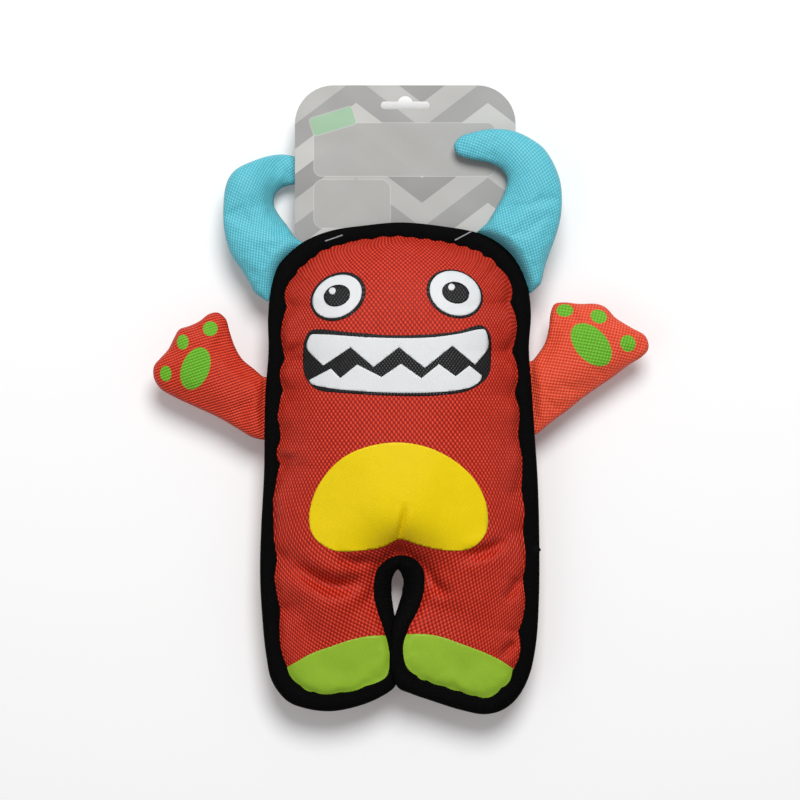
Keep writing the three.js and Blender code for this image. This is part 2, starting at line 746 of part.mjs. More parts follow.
function squeaker() {
  const half = squeakerHeight / 2;
  const bevel = squeakerPlate / 2;
  const boreRadius = reedTubeRadius + layGap;
  const baseTop = squeakerPlate - half;
  const crownFoot = half - squeakerPlate;
  const group = new THREE.Group();
  const rim = squeakerRadius - bellowsFoldDepth;
  const base = lathed([
    [boreRadius, -half], [squeakerRadius - bevel, -half], [squeakerRadius, baseTop - bevel],
    [squeakerRadius, baseTop], [boreRadius, baseTop], [boreRadius, -half],
  ]);
  group.add(named("squeaker_base", toGeometry(toSolid(base)), clearPlastic, 0.35));
  const crown = lathed([
    [0, crownFoot], [squeakerRadius, crownFoot], [squeakerRadius, crownFoot + bevel],
    [squeakerRadius - bevel, half], [0, half],
  ]);
  group.add(named("squeaker_crown", toGeometry(toSolid(crown)), clearPlastic, 0.35));
  const low = baseTop + layGap;
  const high = crownFoot - layGap;
  const folds = 2 * bellowsFolds;
  const outside = [];
  for (let i = 0; i <= folds; i += 1) {
    const radius = i % 2 === 0 ? rim : squeakerRadius - bellowsWall;
    outside.push([radius, low + ((high - low) * i) / folds]);
  }
  const inside = outside.map(([radius, level]) => [radius - bellowsWall, level]).reverse();
  const bellows = lathed([...outside, ...inside, outside[0]]);
  group.add(named("squeaker_bellows", toGeometry(toSolid(bellows)), clearPlastic, 0.35));
  const tubeInner = reedTubeRadius - reedTubeWall;
  const collarTop = baseTop + layGap + reedTubeCollar;
  const tubeTop = reedTubeLength - half;
  const tube = lathed([
    [tubeInner, -half], [reedTubeRadius, -half], [reedTubeRadius, baseTop + layGap],
    [reedTubeRadius + reedTubeCollar, baseTop + layGap], [reedTubeRadius + reedTubeCollar, collarTop],
    [reedTubeRadius, collarTop], [reedTubeRadius, tubeTop], [tubeInner, tubeTop], [tubeInner, -half],
  ]);
  group.add(named("squeaker_reed_tube", toGeometry(toSolid(tube)), clearPlastic, 0.4));
  const plugRadius = tubeInner - halfGap;
  const plugTop = reedPlugLength - half;
  const plug = toSolid(lathed([[0, -half], [plugRadius, -half], [plugRadius, plugTop], [0, plugTop]]));
  const slotFoot = plugTop - reedPlugLength * reedSlotShare;
  const cutTop = plugTop + cutOverrun;
  const reedSlot = plate(reedWidth + 2 * layGap, reedThickness + 2 * layGap, slotFoot, cutTop);
  const airSlot = plate(2 * plugRadius, reedAirSlot, -half - cutOverrun, cutTop);
  airSlot.translate(0, plugRadius, 0);
  const plugSolid = plug.subtract(toSolid(reedSlot)).subtract(toSolid(airSlot));
  group.add(named("squeaker_reed_plug", toGeometry(plugSolid), clearPlastic, 0.4));
  const reedFoot = slotFoot + layGap;
  const reed = plate(reedWidth, reedThickness, reedFoot, reedFoot + reedLength);
  group.add(named("squeaker_reed", reed, steel, 0.4));
  group.position.set(squeakerMiddle.x, squeakerMiddle.y, 0);
  return group;
}

// Assembly
const toy = new THREE.Group();
toy.add(named("body_front_panel", bodyFrontPanel(), red, 0.6));
toy.add(named("body_back_panel", bodyBackPanel(), red, 0.6));
toy.add(named("body_edge_binding", edgeBinding(), black, 0.8));
toy.add(named("body_front_wadding", bodyWadding(false), fibreWhite, 0.95));
toy.add(named("body_back_wadding", bodyWadding(true), fibreWhite, 0.95));
toy.add(named("left_eye_print", film(eyeOutline(leftEyePixels)), filmWhite, 0.4));
toy.add(named("right_eye_print", film(eyeOutline(rightEyePixels)), filmWhite, 0.4));
const mouthEdge = printOutline(mouthPixels, mouthSpanPixels, mouthWidth);
const bellyEdge = printOutline(bellyPixels, bellySpanPixels, bellyWidth);
toy.add(named("mouth_print", film(mouthEdge), filmWhite, 0.4));
toy.add(named("belly_print", film(bellyEdge), filmYellow, 0.4));
toy.add(named("left_foot_print", footFilm(leftFootPixels), filmGreen, 0.4));
toy.add(named("right_foot_print", footFilm(rightFootPixels), filmGreen, 0.4));
toy.add(named("header_card", headerCard(), cardGrey, 0.35));
toy.add(squeaker());

toy.add(staple("left_staple", leftStaplePixels));
toy.add(staple("right_staple", rightStaplePixels));

const leftArm = limb(leftArmPixels, armReach, armReachPixels, armSwell, armSteps, armGrid);
const rightArm = limb(rightArmPixels, armReach, armReachPixels, armSwell, armSteps, armGrid);
const leftHorn = limb(leftHornPixels, hornReach, hornReachPixels, hornSwell, hornSteps, hornGrid);
const rightHorn = limb(rightHornPixels, hornReach, hornReachPixels, hornSwell, hornSteps, hornGrid);

// The left horn's tip dips behind the card, and the right horn rides up over its front
function leftHornLift(point) {
  const near = bodyPoint(leftHornDip.fromX, leftHornDip.fromY).sub(leftHorn.root);
  const far = bodyPoint(leftHornDip.toX, leftHornDip.toY).sub(leftHorn.root);
  const across = THREE.MathUtils.smoothstep(point.x, near.x, far.x);
  const up = THREE.MathUtils.smoothstep(point.y, near.y, far.y);
  return -leftHornDip.depth * across * up;
}

function rightHornLift(point) {
  const out = Math.max(0, point.dot(rightHorn.outwards));
  return rightHornRise * Math.min(1, out / rootRamp);
}

toy.add(limbPieces("left_arm", leftArm, () => 0, red));
toy.add(limbPieces("right_arm", rightArm, () => 0, red));
toy.add(limbPieces("left_horn", leftHorn, leftHornLift, turquoise));
toy.add(limbPieces("right_horn", rightHorn, rightHornLift, turquoise));
toy.add(rootTab("left_arm_root_tab", leftArm, red));
toy.add(rootTab("right_arm_root_tab", rightArm, red));
toy.add(rootTab("left_horn_root_tab", leftHorn, turquoise));
toy.add(rootTab("right_horn_root_tab", rightHorn, turquoise));

// The origin is under the middle of the whole toy, on the face that it lies on
toy.updateMatrixWorld(true);
const bounds = new THREE.Box3().setFromObject(toy, true);
const centre = bounds.getCenter(new THREE.Vector3());
toy.position.set(-centre.x, -centre.y, -bounds.min.z);

const part = new THREE.Group();
part.add(toy);

export default part;
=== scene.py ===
import json
import math

import bmesh
import bpy
import numpy as np
from mathutils import Matrix, Vector
from mathutils.bvhtree import BVHTree


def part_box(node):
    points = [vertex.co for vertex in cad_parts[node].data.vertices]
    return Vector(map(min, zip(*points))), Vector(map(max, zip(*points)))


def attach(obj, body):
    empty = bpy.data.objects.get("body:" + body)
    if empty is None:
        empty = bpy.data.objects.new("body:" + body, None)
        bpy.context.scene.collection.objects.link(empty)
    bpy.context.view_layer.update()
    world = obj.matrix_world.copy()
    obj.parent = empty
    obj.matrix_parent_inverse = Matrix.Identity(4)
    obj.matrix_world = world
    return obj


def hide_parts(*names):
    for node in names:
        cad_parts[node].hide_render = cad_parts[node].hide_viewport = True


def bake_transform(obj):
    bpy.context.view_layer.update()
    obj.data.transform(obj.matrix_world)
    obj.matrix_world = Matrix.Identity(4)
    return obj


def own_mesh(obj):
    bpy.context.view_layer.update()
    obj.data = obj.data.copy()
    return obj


# A stuffed squeaky dog toy lying on its back, stapled to its header card.
# Metres, +X to the viewer's right, +Y towards the horns, +Z out of the face.
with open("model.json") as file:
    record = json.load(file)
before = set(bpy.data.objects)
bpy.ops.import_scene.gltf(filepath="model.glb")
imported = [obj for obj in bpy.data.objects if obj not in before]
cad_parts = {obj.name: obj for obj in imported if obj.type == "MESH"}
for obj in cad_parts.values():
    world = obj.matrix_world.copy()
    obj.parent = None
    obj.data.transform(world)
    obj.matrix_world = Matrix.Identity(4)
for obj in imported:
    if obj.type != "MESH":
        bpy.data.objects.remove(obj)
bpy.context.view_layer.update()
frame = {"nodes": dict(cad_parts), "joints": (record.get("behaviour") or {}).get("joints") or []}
cadNodes = frame["nodes"]
joints = {joint["name"]: joint for joint in frame["joints"]}

# The edges of the body's tape, in pixels of the photograph
photo = {"left": 260, "right": 539.5, "top": 221.5, "foot": 715}
tapeLow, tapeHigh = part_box("body_edge_binding")
pixelAcross = (tapeHigh.x - tapeLow.x) / (photo["right"] - photo["left"])
pixelAlong = (tapeHigh.y - tapeLow.y) / (photo["foot"] - photo["top"])


def photoPoint(x, y):
    across = tapeLow.x + (x - photo["left"]) * pixelAcross
    return np.array([across, tapeHigh.y - (y - photo["top"]) * pixelAlong])


def columnAt(x):
    return photoPoint(x, 0)[0]


def rowAt(y):
    return photoPoint(0, y)[1]


def photoPoints(pixels):
    return np.array([photoPoint(x, y) for x, y in pixels])


print("frame loaded")


# Lines on the flat


def smoothLine(anchors, steps, closed=True):
    # centripetal curve through the anchors, with this many steps on each stretch
    if not closed:
        anchors = [2 * anchors[0] - anchors[1], *anchors, 2 * anchors[-1] - anchors[-2]]
    count = len(anchors)
    line = []
    for i in range(count) if closed else range(1, count - 2):
        p0, p1, p2, p3 = (anchors[(i + k) % count] for k in (-1, 0, 1, 2))
        t1 = np.linalg.norm(p1 - p0) ** 0.5
        t2 = t1 + np.linalg.norm(p2 - p1) ** 0.5
        t3 = t2 + np.linalg.norm(p3 - p2) ** 0.5
        for step in range(steps):
            t = t1 + (t2 - t1) * step / steps
            a1 = ((t1 - t) * p0 + t * p1) / t1
            a2 = ((t2 - t) * p1 + (t - t1) * p2) / (t2 - t1)
            a3 = ((t3 - t) * p2 + (t - t2) * p3) / (t3 - t2)
            b1 = ((t2 - t) * a1 + t * a2) / t2
            b2 = ((t3 - t) * a2 + (t - t1) * a3) / (t3 - t1)
            line.append(((t2 - t) * b1 + (t - t1) * b2) / (t2 - t1))
    if not closed:
        line.append(anchors[-2])
    return np.array(line)


def lengthsAlong(line):
    return np.concatenate([[0], np.cumsum(np.linalg.norm(np.diff(line, axis=0), axis=1))])


def evenLine(line, spacing, closed=True):
    ends = np.vstack([line, line[:1]]) if closed else line
    along = lengthsAlong(ends)
    places = np.linspace(0, along[-1], round(along[-1] / spacing), endpoint=not closed)
    return np.column_stack([np.interp(places, along, ends[:, k]) for k in (0, 1)])


def insideLine(points, line):
    ahead = np.roll(line, -1, 0)
    x, y = points[:, :1], points[:, 1:2]
    rise = ahead[:, 1] - line[:, 1]
    crosses = (line[:, 1] > y) != (ahead[:, 1] > y)
    slope = np.divide(ahead[:, 0] - line[:, 0], rise, out=np.zeros(len(line)), where=rise != 0)
    return (np.sum(crosses & (x < slope * (y - line[:, 1]) + line[:, 0]), axis=1) % 2).astype(bool)


def nearestOn(points, line, closed=True):
    # nearest place on the line to each point, its distance and how far along the line it lies
    start = line if closed else line[:-1]
    side = np.roll(line, -1, 0)[: len(start)] - start
    lengths = np.linalg.norm(side, axis=1)
    before = np.concatenate([[0], np.cumsum(lengths)])
    found = []
    for some in np.array_split(points, len(points) // 4000 + 1):
        share = np.clip(((some[:, None] - start) * side).sum(2) / lengths**2, 0, 1)
        place = start + share[..., None] * side
        gap = np.linalg.norm(some[:, None] - place, axis=2)
        rows, best = np.arange(len(some)), gap.argmin(1)
        along = before[best] + share[rows, best] * lengths[best]
        found.append((place[rows, best], gap[rows, best], along))
    return [np.concatenate(parts) for parts in zip(*found)]


def smoothStep(value, low, high):
    share = np.clip((value - low) / (high - low), 0, 1)
    return share * share * (3 - 2 * share)


def downRows(places, first, last):
    # from 0 at one row of pixels to 1 at a lower one
    return smoothStep(-places[:, 1], -rowAt(first), -rowAt(last))


def acrossRows(places, rows, column):
    # a column of numbers given for rows of pixels, at each place
    return np.interp(-places[:, 1], [-rowAt(row[0]) for row in rows], [row[column] for row in rows])


def ellipseLine(middle, halves, turn, count):
    angle = np.linspace(0, 2 * math.pi, count, endpoint=False)
    across, along = halves[0] * np.cos(angle), halves[1] * np.sin(angle)
    c, s = math.cos(math.radians(turn)), math.sin(math.radians(turn))
    return photoPoints(zip(middle[0] + across * c + along * s, middle[1] - across * s + along * c))


# Stuffed cloth


def stuffedShare(points, seam, directions=48):
    # how high stuffing lifts each point, from 0 at the seam to 1 at the fullest place
    ahead = np.roll(seam, -1, 0)
    total = np.zeros(len(points))
    for k in range(directions):
        turn = math.pi * (k + 1 / 3) / directions
        way = np.array([math.cos(turn), math.sin(turn)])
        across = np.array([-way[1], way[0]])
        height = (points @ across)[:, None]
        sideA, sideB = seam @ across - height, ahead @ across - height
        crosses = (sideA > 0) != (sideB > 0)
        share = np.divide(sideA, sideA - sideB, out=np.zeros_like(sideA), where=crosses)
        reach = seam @ way + share * ((ahead - seam) @ way) - (points @ way)[:, None]
        front = np.where(crosses & (reach > 0), reach, np.inf).min(1)
        back = np.where(crosses & (reach <= 0), -reach, np.inf).min(1)
        total += 1 / np.maximum(front * back, 1e-12)
    power = directions / total
    return np.sqrt(power / power.max())


lattice = {"rounds": 12, "ease": 0.5}


def latticeCloth(border, spacing):
    # a square lattice cut to the border, with its edge drawn out to it
    low, high = border.min(0), border.max(0)
    count = np.ceil((high - low) / spacing).astype(int)
    cloth = bmesh.new()
    placing = Matrix.Translation((*(low + high) / 2, 0)) @ Matrix.Diagonal((*(high - low), 1, 1))
    bmesh.ops.create_grid(cloth, x_segments=int(count[0]), y_segments=int(count[1]), size=0.5, matrix=placing)
    middles = np.array([face.calc_center_median().xy for face in cloth.faces])
    kept = insideLine(middles, border)
    bmesh.ops.delete(cloth, geom=[face for face, keep in zip(cloth.faces, kept) if not keep], context="FACES")
    edge = [vert for vert in cloth.verts if vert.is_boundary]
    for step in range(lattice["rounds"] + 1):
        if step:
            bmesh.ops.smooth_vert(
                cloth, verts=cloth.verts, factor=lattice["ease"], use_axis_x=True, use_axis_y=True
            )
        places = nearestOn(np.array([vert.co.xy for vert in edge]), border)[0]
        for vert, place in zip(edge, places):
            vert.co.xy = place
    return cloth


def sewnPair(name, border, spacing, levelsOf):
    # two panels sewn together along the border, each at the level that stuffing gives it
    cloth = latticeCloth(border, spacing)
    sideOf = cloth.faces.layers.int.new("side")
    front = cloth.verts[:]
    copied = bmesh.ops.duplicate(cloth, geom=cloth.verts[:] + cloth.edges[:] + cloth.faces[:])["geom"]
    back = [part for part in copied if isinstance(part, bmesh.types.BMVert)]
    backFaces = [part for part in copied if isinstance(part, bmesh.types.BMFace)]
    for face in backFaces:
        face[sideOf] = 1
    bmesh.ops.reverse_faces(cloth, faces=backFaces)
    for which, panel in enumerate((front, back)):
        for vert, *levels in zip(panel, *levelsOf(np.array([vert.co.xy for vert in panel]))):
            vert.co.z = sum(levels) / 2 if vert.is_boundary else levels[which]
    edge = [vert for vert in cloth.verts if vert.is_boundary]
    bmesh.ops.remove_doubles(cloth, verts=edge, dist=1e-6)
    crease = cloth.edges.layers.float.new("crease_edge")
    for line in cloth.edges:
        line.seam = len({face[sideOf] for face in line.link_faces}) > 1
        line[crease] = float(line.seam)
    return finished(name, cloth)


def finished(name, shape):
    mesh = bpy.data.meshes.new(name)
    shape.to_mesh(mesh)
    shape.free()
    mesh.polygons.foreach_set("use_smooth", [True] * len(mesh.polygons))
    piece = bpy.data.objects.new(name, mesh)
    bpy.context.scene.collection.objects.link(piece)
    return piece


def readOut(items, key, width=1, kind=np.float32):
    values = np.empty(len(items) * width, kind)
    items.foreach_get(key, values)
    return values.reshape(-1, width).astype(float) if width > 1 else values


def dress(piece, material, slotName, *nodes):
    # the finish of a piece that rides on the body, and the CAD nodes that it stands for
    piece.data.materials.append(material)
    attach(piece, "body")
    if nodes:
        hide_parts(*nodes)


def placesOf(mesh):
    return readOut(mesh.vertices, "co", 3)


def setPlaces(piece, places):
    piece.data.vertices.foreach_set("co", places.astype(np.float32).ravel())
    piece.data.update()


stuffing = {"quality": 5, "mass": 0.15}


def plump(piece, held, settings, share=1):
    # the stuffing's pressure, as a short cloth simulation with the seam held: each point takes its share
    before = placesOf(piece.data)
    group = piece.vertex_groups.new(name="held")
    group.add([int(i) for i in np.flatnonzero(held)], 1.0, "REPLACE")
    swell = piece.modifiers.new("swell", "CLOTH")
    cloth = swell.settings
    cloth.quality = stuffing["quality"]
    cloth.mass = stuffing["mass"]
    cloth.tension_stiffness = settings["tension"]
    cloth.compression_stiffness = settings["tension"]
    cloth.shear_stiffness = settings["shear"]
    cloth.bending_stiffness = settings["bending"]
    cloth.use_pressure = True
    cloth.uniform_pressure_force = settings["pressure"]
    cloth.shrink_min = -settings["slack"]
    cloth.effector_weights.gravity = 0
    cloth.vertex_group_mass = "held"
    for step in range(1, settings["steps"] + 1):
        bpy.context.scene.frame_set(step)
    shaped = piece.evaluated_get(bpy.context.evaluated_depsgraph_get())
    moved = placesOf(shaped.data) - before
    size = np.linalg.norm(moved, axis=1, keepdims=True)
    piece.modifiers.remove(swell)
    piece.vertex_groups.remove(group)
    setPlaces(piece, before + moved * share * np.minimum(1, settings["cap"] / np.maximum(size, 1e-9)))
    bpy.context.scene.frame_set(1)
    print(f"{piece.name} plumped, most {size.max() * 1000:.1f} mm")


def layWeave(piece):
    # one map follows the cloth, in metres, and the other is the flat picture's own place
    mesh = piece.data
    bpy.context.view_layer.objects.active = piece
    piece.select_set(True)
    bpy.ops.object.mode_set(mode="EDIT")
    bpy.ops.mesh.select_all(action="SELECT")
    bpy.ops.uv.unwrap(method="MINIMUM_STRETCH", margin=0.01)
    bpy.ops.object.mode_set(mode="OBJECT")
    piece.select_set(False)
    mesh.uv_layers[0].name = "weave"
    corners = readOut(mesh.loops, "vertex_index", kind=int)
    side = readOut(mesh.attributes["side"].data, "value", kind=int)
    sizes = readOut(mesh.polygons, "loop_total", kind=int)
    areas = readOut(mesh.polygons, "area", kind=float)
    cornerSide = np.repeat(side, sizes)
    flat = readOut(mesh.uv_layers["weave"].data, "uv", 2, float)
    laid = flat.copy()
    plan = placesOf(mesh)[corners, :2]
    for which in (0, 1):
        here = cornerSide == which
        mirror = 1 - 2 * which
        pattern = (flat[here] - flat[here].mean(0)) @ np.array([1, 1j])
        target = (plan[here] - plan[here].mean(0)) @ np.array([mirror, 1j])
        turn = (np.conj(pattern) * target).sum()
        first = np.concatenate([[0], np.cumsum(sizes[side == which])])[:-1]
        after = np.roll(np.arange(len(pattern)), -1)
        last = first + sizes[side == which] - 1
        after[last] = first
        flatArea = abs((np.conj(pattern) * pattern[after]).imag.sum()) / 2
        pattern *= turn / abs(turn) * math.sqrt(areas[side == which].sum() / flatArea)
        laid[here] = np.column_stack([pattern.real, pattern.imag])
    mesh.uv_layers["weave"].data.foreach_set("uv", laid.ravel())
    plan = plan + np.column_stack([np.zeros(len(plan)), cornerSide])  # the back lies a metre away
    mesh.uv_layers.new(name="plan").data.foreach_set("uv", plan.ravel())


easing = {"factor": 0.5, "rounds": 40}


def refined(piece, calm=None):
    # wrinkles eased where the stuffing lies calm, then one subdivision made real for the folds
    if calm is not None:
        group = piece.vertex_groups.new(name="calm")
        for index, weight in enumerate(calm):
            group.add([index], float(weight), "REPLACE")
        ease = piece.modifiers.new("ease", "SMOOTH")
        ease.factor = easing["factor"]
        ease.iterations = easing["rounds"]
        ease.vertex_group = "calm"
    smooth = piece.modifiers.new("refine", "SUBSURF")
    smooth.levels = smooth.render_levels = 1
    fine = bpy.data.meshes.new_from_object(piece.evaluated_get(bpy.context.evaluated_depsgraph_get()))
    piece.modifiers.clear()
    piece.vertex_groups.clear()
    coarse, piece.data = piece.data, fine
    bpy.data.meshes.remove(coarse)
    fine.name = piece.name


# Material makers


def tone(red, green, blue):
    # a colour as a screen shows it, from 0 to 255
    shares = [value / 255 for value in (red, green, blue)]
    return (*(s / 12.92 if s <= 0.04045 else ((s + 0.055) / 1.055) ** 2.4 for s in shares), 1)


def paint(tree, shader, colour, height, depth):
    # the colour on the surface, and a pattern that stands up from it by the depth in metres
    tree.links.new(colour, shader.inputs["Base Color"])
    bump = put(tree, "Bump", {"Height": height, "Distance": depth, "Strength": 1.0})
    tree.links.new(bump.outputs[0], shader.inputs["Normal"])


def newMaterial(name, **sockets):
    material = bpy.data.materials.new(name)
    material.use_nodes = True
    tree = material.node_tree
    shader = tree.nodes["Principled BSDF"]
    for socket, value in sockets.items():
        shader.inputs[socket.replace("_", " ")].default_value = value
    return material, tree, shader


def put(tree, kind, inputs=None, **settings):
    made = tree.nodes.new("ShaderNode" + kind)
    for key, value in settings.items():
        setattr(made, key, value)
    for key, value in (inputs or {}).items():
        if isinstance(value, bpy.types.NodeSocket):
            tree.links.new(value, made.inputs[key])
        else:
            made.inputs[key].default_value = value
    return made


def calc(tree, operation, *values, clamp=False):
    return put(tree, "Math", dict(enumerate(values)), operation=operation, use_clamp=clamp).outputs[0]


def mixTones(tree, share, first, second):
    return put(tree, "Mix", {0: share, 6: first, 7: second}, data_type="RGBA").outputs[2]


def remap(tree, value, fromLow, fromHigh, toLow=0.0, toHigh=1.0):
    inputs = {0: value, 1: fromLow, 2: fromHigh, 3: toLow, 4: toHigh}
    return put(tree, "MapRange", inputs, clamp=True).outputs[0]


def noiseAt(tree, vector, scale, detail=2.0, roughness=0.5):
    inputs = {"Vector": vector, "Scale": scale, "Detail": detail, "Roughness": roughness}
    return put(tree, "TexNoise", inputs).outputs[0]


def placeOn(tree, uvMap=None):
    # a place in metres on the piece's own map, or in the frame
    if uvMap:
        return put(tree, "UVMap", uv_map=uvMap).outputs[0]
    return put(tree, "TexCoord").outputs["Object"]


yarnRound = 1.3              # how quickly a yarn falls away from its crown


def yarns(tree, place, pitch, turn, lean=0.5, dots=0.0):
    # the crowns of a woven cloth's yarns, in staggered rows, where lean favours one diagonal
    turned = put(tree, "Mapping", {"Vector": place, "Rotation": (0, 0, math.radians(-turn))}).outputs[0]
    split = put(tree, "SeparateXYZ", {0: turned})
    across = calc(tree, "MULTIPLY", split.outputs[0], 2 * math.pi / pitch[0])
    along = calc(tree, "MULTIPLY", split.outputs[1], math.pi / pitch[1])
    falling = calc(tree, "COSINE", calc(tree, "ADD", across, along))
    rising = calc(tree, "COSINE", calc(tree, "SUBTRACT", across, along))
    ribs = calc(tree, "MULTIPLY_ADD", rising, (1 - lean) / 2, 0.5)
    ribs = calc(tree, "MULTIPLY_ADD", falling, lean / 2, ribs)
    crown = calc(tree, "POWER", ribs, yarnRound)
    if dots:
        halves = [calc(tree, "MULTIPLY_ADD", wave, 0.5, 0.5) for wave in (falling, rising)]
        dot = calc(tree, "MULTIPLY", halves[0], halves[1])
        crown = calc(tree, "MULTIPLY_ADD", dot, dots, calc(tree, "MULTIPLY", crown, 1 - dots))
    cellScale = (0.5 / pitch[0], 0.5 / pitch[1], 0)
    cells = put(tree, "Mapping", {"Vector": turned, "Scale": cellScale}).outputs[0]
    return crown, noiseAt(tree, cells, 1.0, 1.0)


clothTone = {
    "yarnRange": 0.5,        # how much one yarn's tone differs from the next
    "patchScale": 22.0,      # larger patches of tone
    "patchRange": 0.1,
}


def wovenMaterial(name, weave, prints=None):
    material, tree, shader = newMaterial(
        name, Roughness=weave["roughness"], Specular_IOR_Level=0.2, Sheen_Weight=0.02, Sheen_Roughness=0.5
    )
    place = placeOn(tree, "weave")
    crown, chance = yarns(tree, place, weave["pitch"], weave["turn"], weave["lean"], weave["dots"])
    yarnRange, patchRange = clothTone["yarnRange"], clothTone["patchRange"]
    lit = calc(tree, "MULTIPLY", crown, calc(tree, "MULTIPLY_ADD", chance, yarnRange, 1 - yarnRange / 2))
    patches = noiseAt(tree, place, clothTone["patchScale"])
    shade = calc(tree, "MULTIPLY_ADD", patches, patchRange, -patchRange / 2)
    share = calc(tree, "ADD", lit, shade, clamp=True)
    # the gap tone is painted shade between the yarns, and the crown tone a painted highlight on them
    colour = mixTones(tree, share, tone(*weave["gap"]), tone(*weave["crown"]))
    if prints:
        printed = mixTones(tree, share, tone(*prints["gap"]), tone(*prints["crown"]))
        colour = mixTones(tree, printMask(tree, prints["spots"]), colour, printed)
    paint(tree, shader, colour, crown, weave["height"])
    return material


def aroundPixel(tree, place, pixel, turn):
    # the place as seen from a pixel's own, turned by this many degrees
    inputs = {0: place, 1: (*photoPoint(*pixel), 0)}
    moved = put(tree, "VectorMath", inputs, operation="SUBTRACT").outputs[0]
    return put(tree, "Mapping", {"Vector": moved, "Rotation": (0, 0, math.radians(-turn))}).outputs[0]


def printMask(tree, spots):
    # ellipses of ink on the flat picture's place: middle, half sizes in pixels, and turn in degrees
    place = placeOn(tree, "plan")
    mask = 0.0
    for x, y, halfAcross, halfAlong, turn in spots:
        turned = aroundPixel(tree, place, (x, y), turn)
        scale = (1 / (halfAcross * pixelAcross), 1 / (halfAlong * pixelAlong), 0)
        scaled = put(tree, "Mapping", {"Vector": turned, "Scale": scale}).outputs[0]
        reach = put(tree, "VectorMath", {0: scaled}, operation="LENGTH").outputs["Value"]
        mask = calc(tree, "MAXIMUM", mask, remap(tree, reach, 1.03, 0.97))
    return mask


def filmMaterial(name, colour, emboss=0.00004, roughness=0.42, paintedSheen=None):
    # heat-pressed film that shows the weave beneath as a faint grid; a paler tone on the grid's crowns, if
    # given, is a painted sheen
    material, tree, shader = newMaterial(name, Roughness=roughness, Specular_IOR_Level=0.22)
    place = placeOn(tree)
    grid = yarns(tree, place, film["sheenGridPitch"] if paintedSheen else film["gridPitch"], 0)[0]
    shade = remap(tree, noiseAt(tree, place, 140.0, 3.0), 0.3, 0.7, 0.0, film["smudge"])
    dark = tone(*(film["smudgeTone"] * value for value in colour))
    base = mixTones(tree, grid, tone(*colour), tone(*paintedSheen)) if paintedSheen else tone(*colour)
    paint(tree, shader, mixTones(tree, shade, base, dark), grid, emboss)
    return material


print("makers ready")

# Body of red cloth between the two faces of its tape

# Tape edge in pixels, anticlockwise from the top: fold x, fold y, inner edge x, inner edge y
tapeEdgePixels = [
    (400, 222, 400, 237), (365, 225, 368, 239), (332, 230, 344, 244), (306, 240, 324, 250),
    (290, 252, 309, 261), (278, 266, 296, 273), (271, 288, 287, 290), (268, 318, 284, 319),
    (268.5, 350, 283, 352), (265.5, 392, 281, 392), (264.5, 432, 280, 431), (264, 472, 277, 471),
    (261, 530, 275, 530), (260, 575, 276, 575), (262, 615, 279.5, 614), (266, 655, 282, 651),
    (272, 682, 287.5, 670), (287, 701.5, 297, 683.5), (305, 709, 312, 692.5), (330, 712, 330, 694),
    (356, 707.5, 353, 691), (380, 698, 374.5, 683.5), (395.6, 686, 388, 675), (396.6, 665, 389.5, 660),
    (396.6, 645, 387.5, 645), (396, 627, 382.5, 628), (391.5, 607, 376.5, 606), (389.5, 590, 373.5, 585),
    (392, 576, 378.5, 567), (399, 570, 402.5, 555), (406.5, 576, 421, 566), (408.5, 590, 425, 583),
    (404.5, 607, 421, 606), (399.4, 627, 413, 627), (398.4, 645, 409.5, 642), (398.4, 665, 410, 658),
    (400, 687, 414, 672), (412, 694, 422, 679), (439, 704, 444, 687), (462, 711, 465, 693.5),
    (484, 715, 484, 698), (502, 711, 497, 693), (517, 699, 508, 682), (529, 677, 517, 661),
    (536, 645, 520, 638), (539, 600, 523.5, 597), (539.5, 550, 524, 548), (538, 485, 522, 484),
    (534.5, 430, 518.5, 430), (531.5, 385, 516, 384), (529, 348, 514.5, 349), (531, 312, 514, 313),
    (527, 284, 510.5, 288), (516, 260, 502, 270), (502, 245, 489, 258), (481, 233.5, 472, 249),
    (440, 225.5, 437, 241),
]

body = {
    "spacing": 0.0024,       # lattice of the cloth before its one subdivision
    "seamSteps": 12,         # of the smooth tape lines on each stretch between two pixels
    "edgeSpacing": 0.0025,   # of the points along the cloth's edge and its seam
    "leafSpacing": 0.004,
    "tuck": 0.0012,          # how far the cloth's edge stays from the tape's fold
    "flange": 0.00095,       # half the thickness of the two cloths between the tape's faces
    "creaseDepth": 0.005,    # valley over the slot between the legs
    "creaseWidth": 0.009,
    "creasePixels": (400, 517, 556),    # column, and rows of its start and end
    "creaseShare": 0.67,     # of the swell there, that it may take at most
    "cardPressStart": 0.0009,
    "cardPressRun": 0.015,
    "seamSwing": 1.1,        # the gathers' sway of the seam, as a share of the measured one
    "pinch": 0.6,            # share of the swing that a pinch draws in
    "puffRound": 0.85,
    "gatherDepth": 620,      # depth of the gathers, as a share of their swing's square
    "gatherCalm": (610, 650),    # the gathers fade out towards the feet between these rows
    "gatherFade": 0.7,
    "gatherStart": 0.004,
    "gatherReach": 0.012,
    "weaveTurn": 24,         # the rows of the weave climb to the slot between the legs by this angle
    "weaveTurnRows": (470, 585),
    "weaveTurnPixels": (398, 52, 540),  # column of the slot, middle of a leg aside of it, and row
    "slopeShare": 0.72,      # how much closer the weave looks on the slope beside the seam
    "slopeReach": 0.024,
    "swell": {
        "tension": 14, "shear": 6, "bending": 0.4, "pressure": 3.0, "slack": 0.03, "steps": 20, "cap": 0.005,
    },
    "calmReach": (0.003, 0.014),    # from the seam, where the calm middle starts and where it is whole
    "calmRows": (548, 575),  # between these rows the calm falls off to this share, in the legs
    "calmInLegs": 0.4,
    "calmHolds": 0.7,        # share of the simulated swell that the calm middle leaves out
    "foldFade": (0.0005, 0.006),    # the folds fade out towards the seam
}
seamLevel = (tapeLow.z + tapeHigh.z) / 2
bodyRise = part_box("body_front_panel")[1].z - seamLevel - body["flange"]
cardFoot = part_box("header_card")[0].y

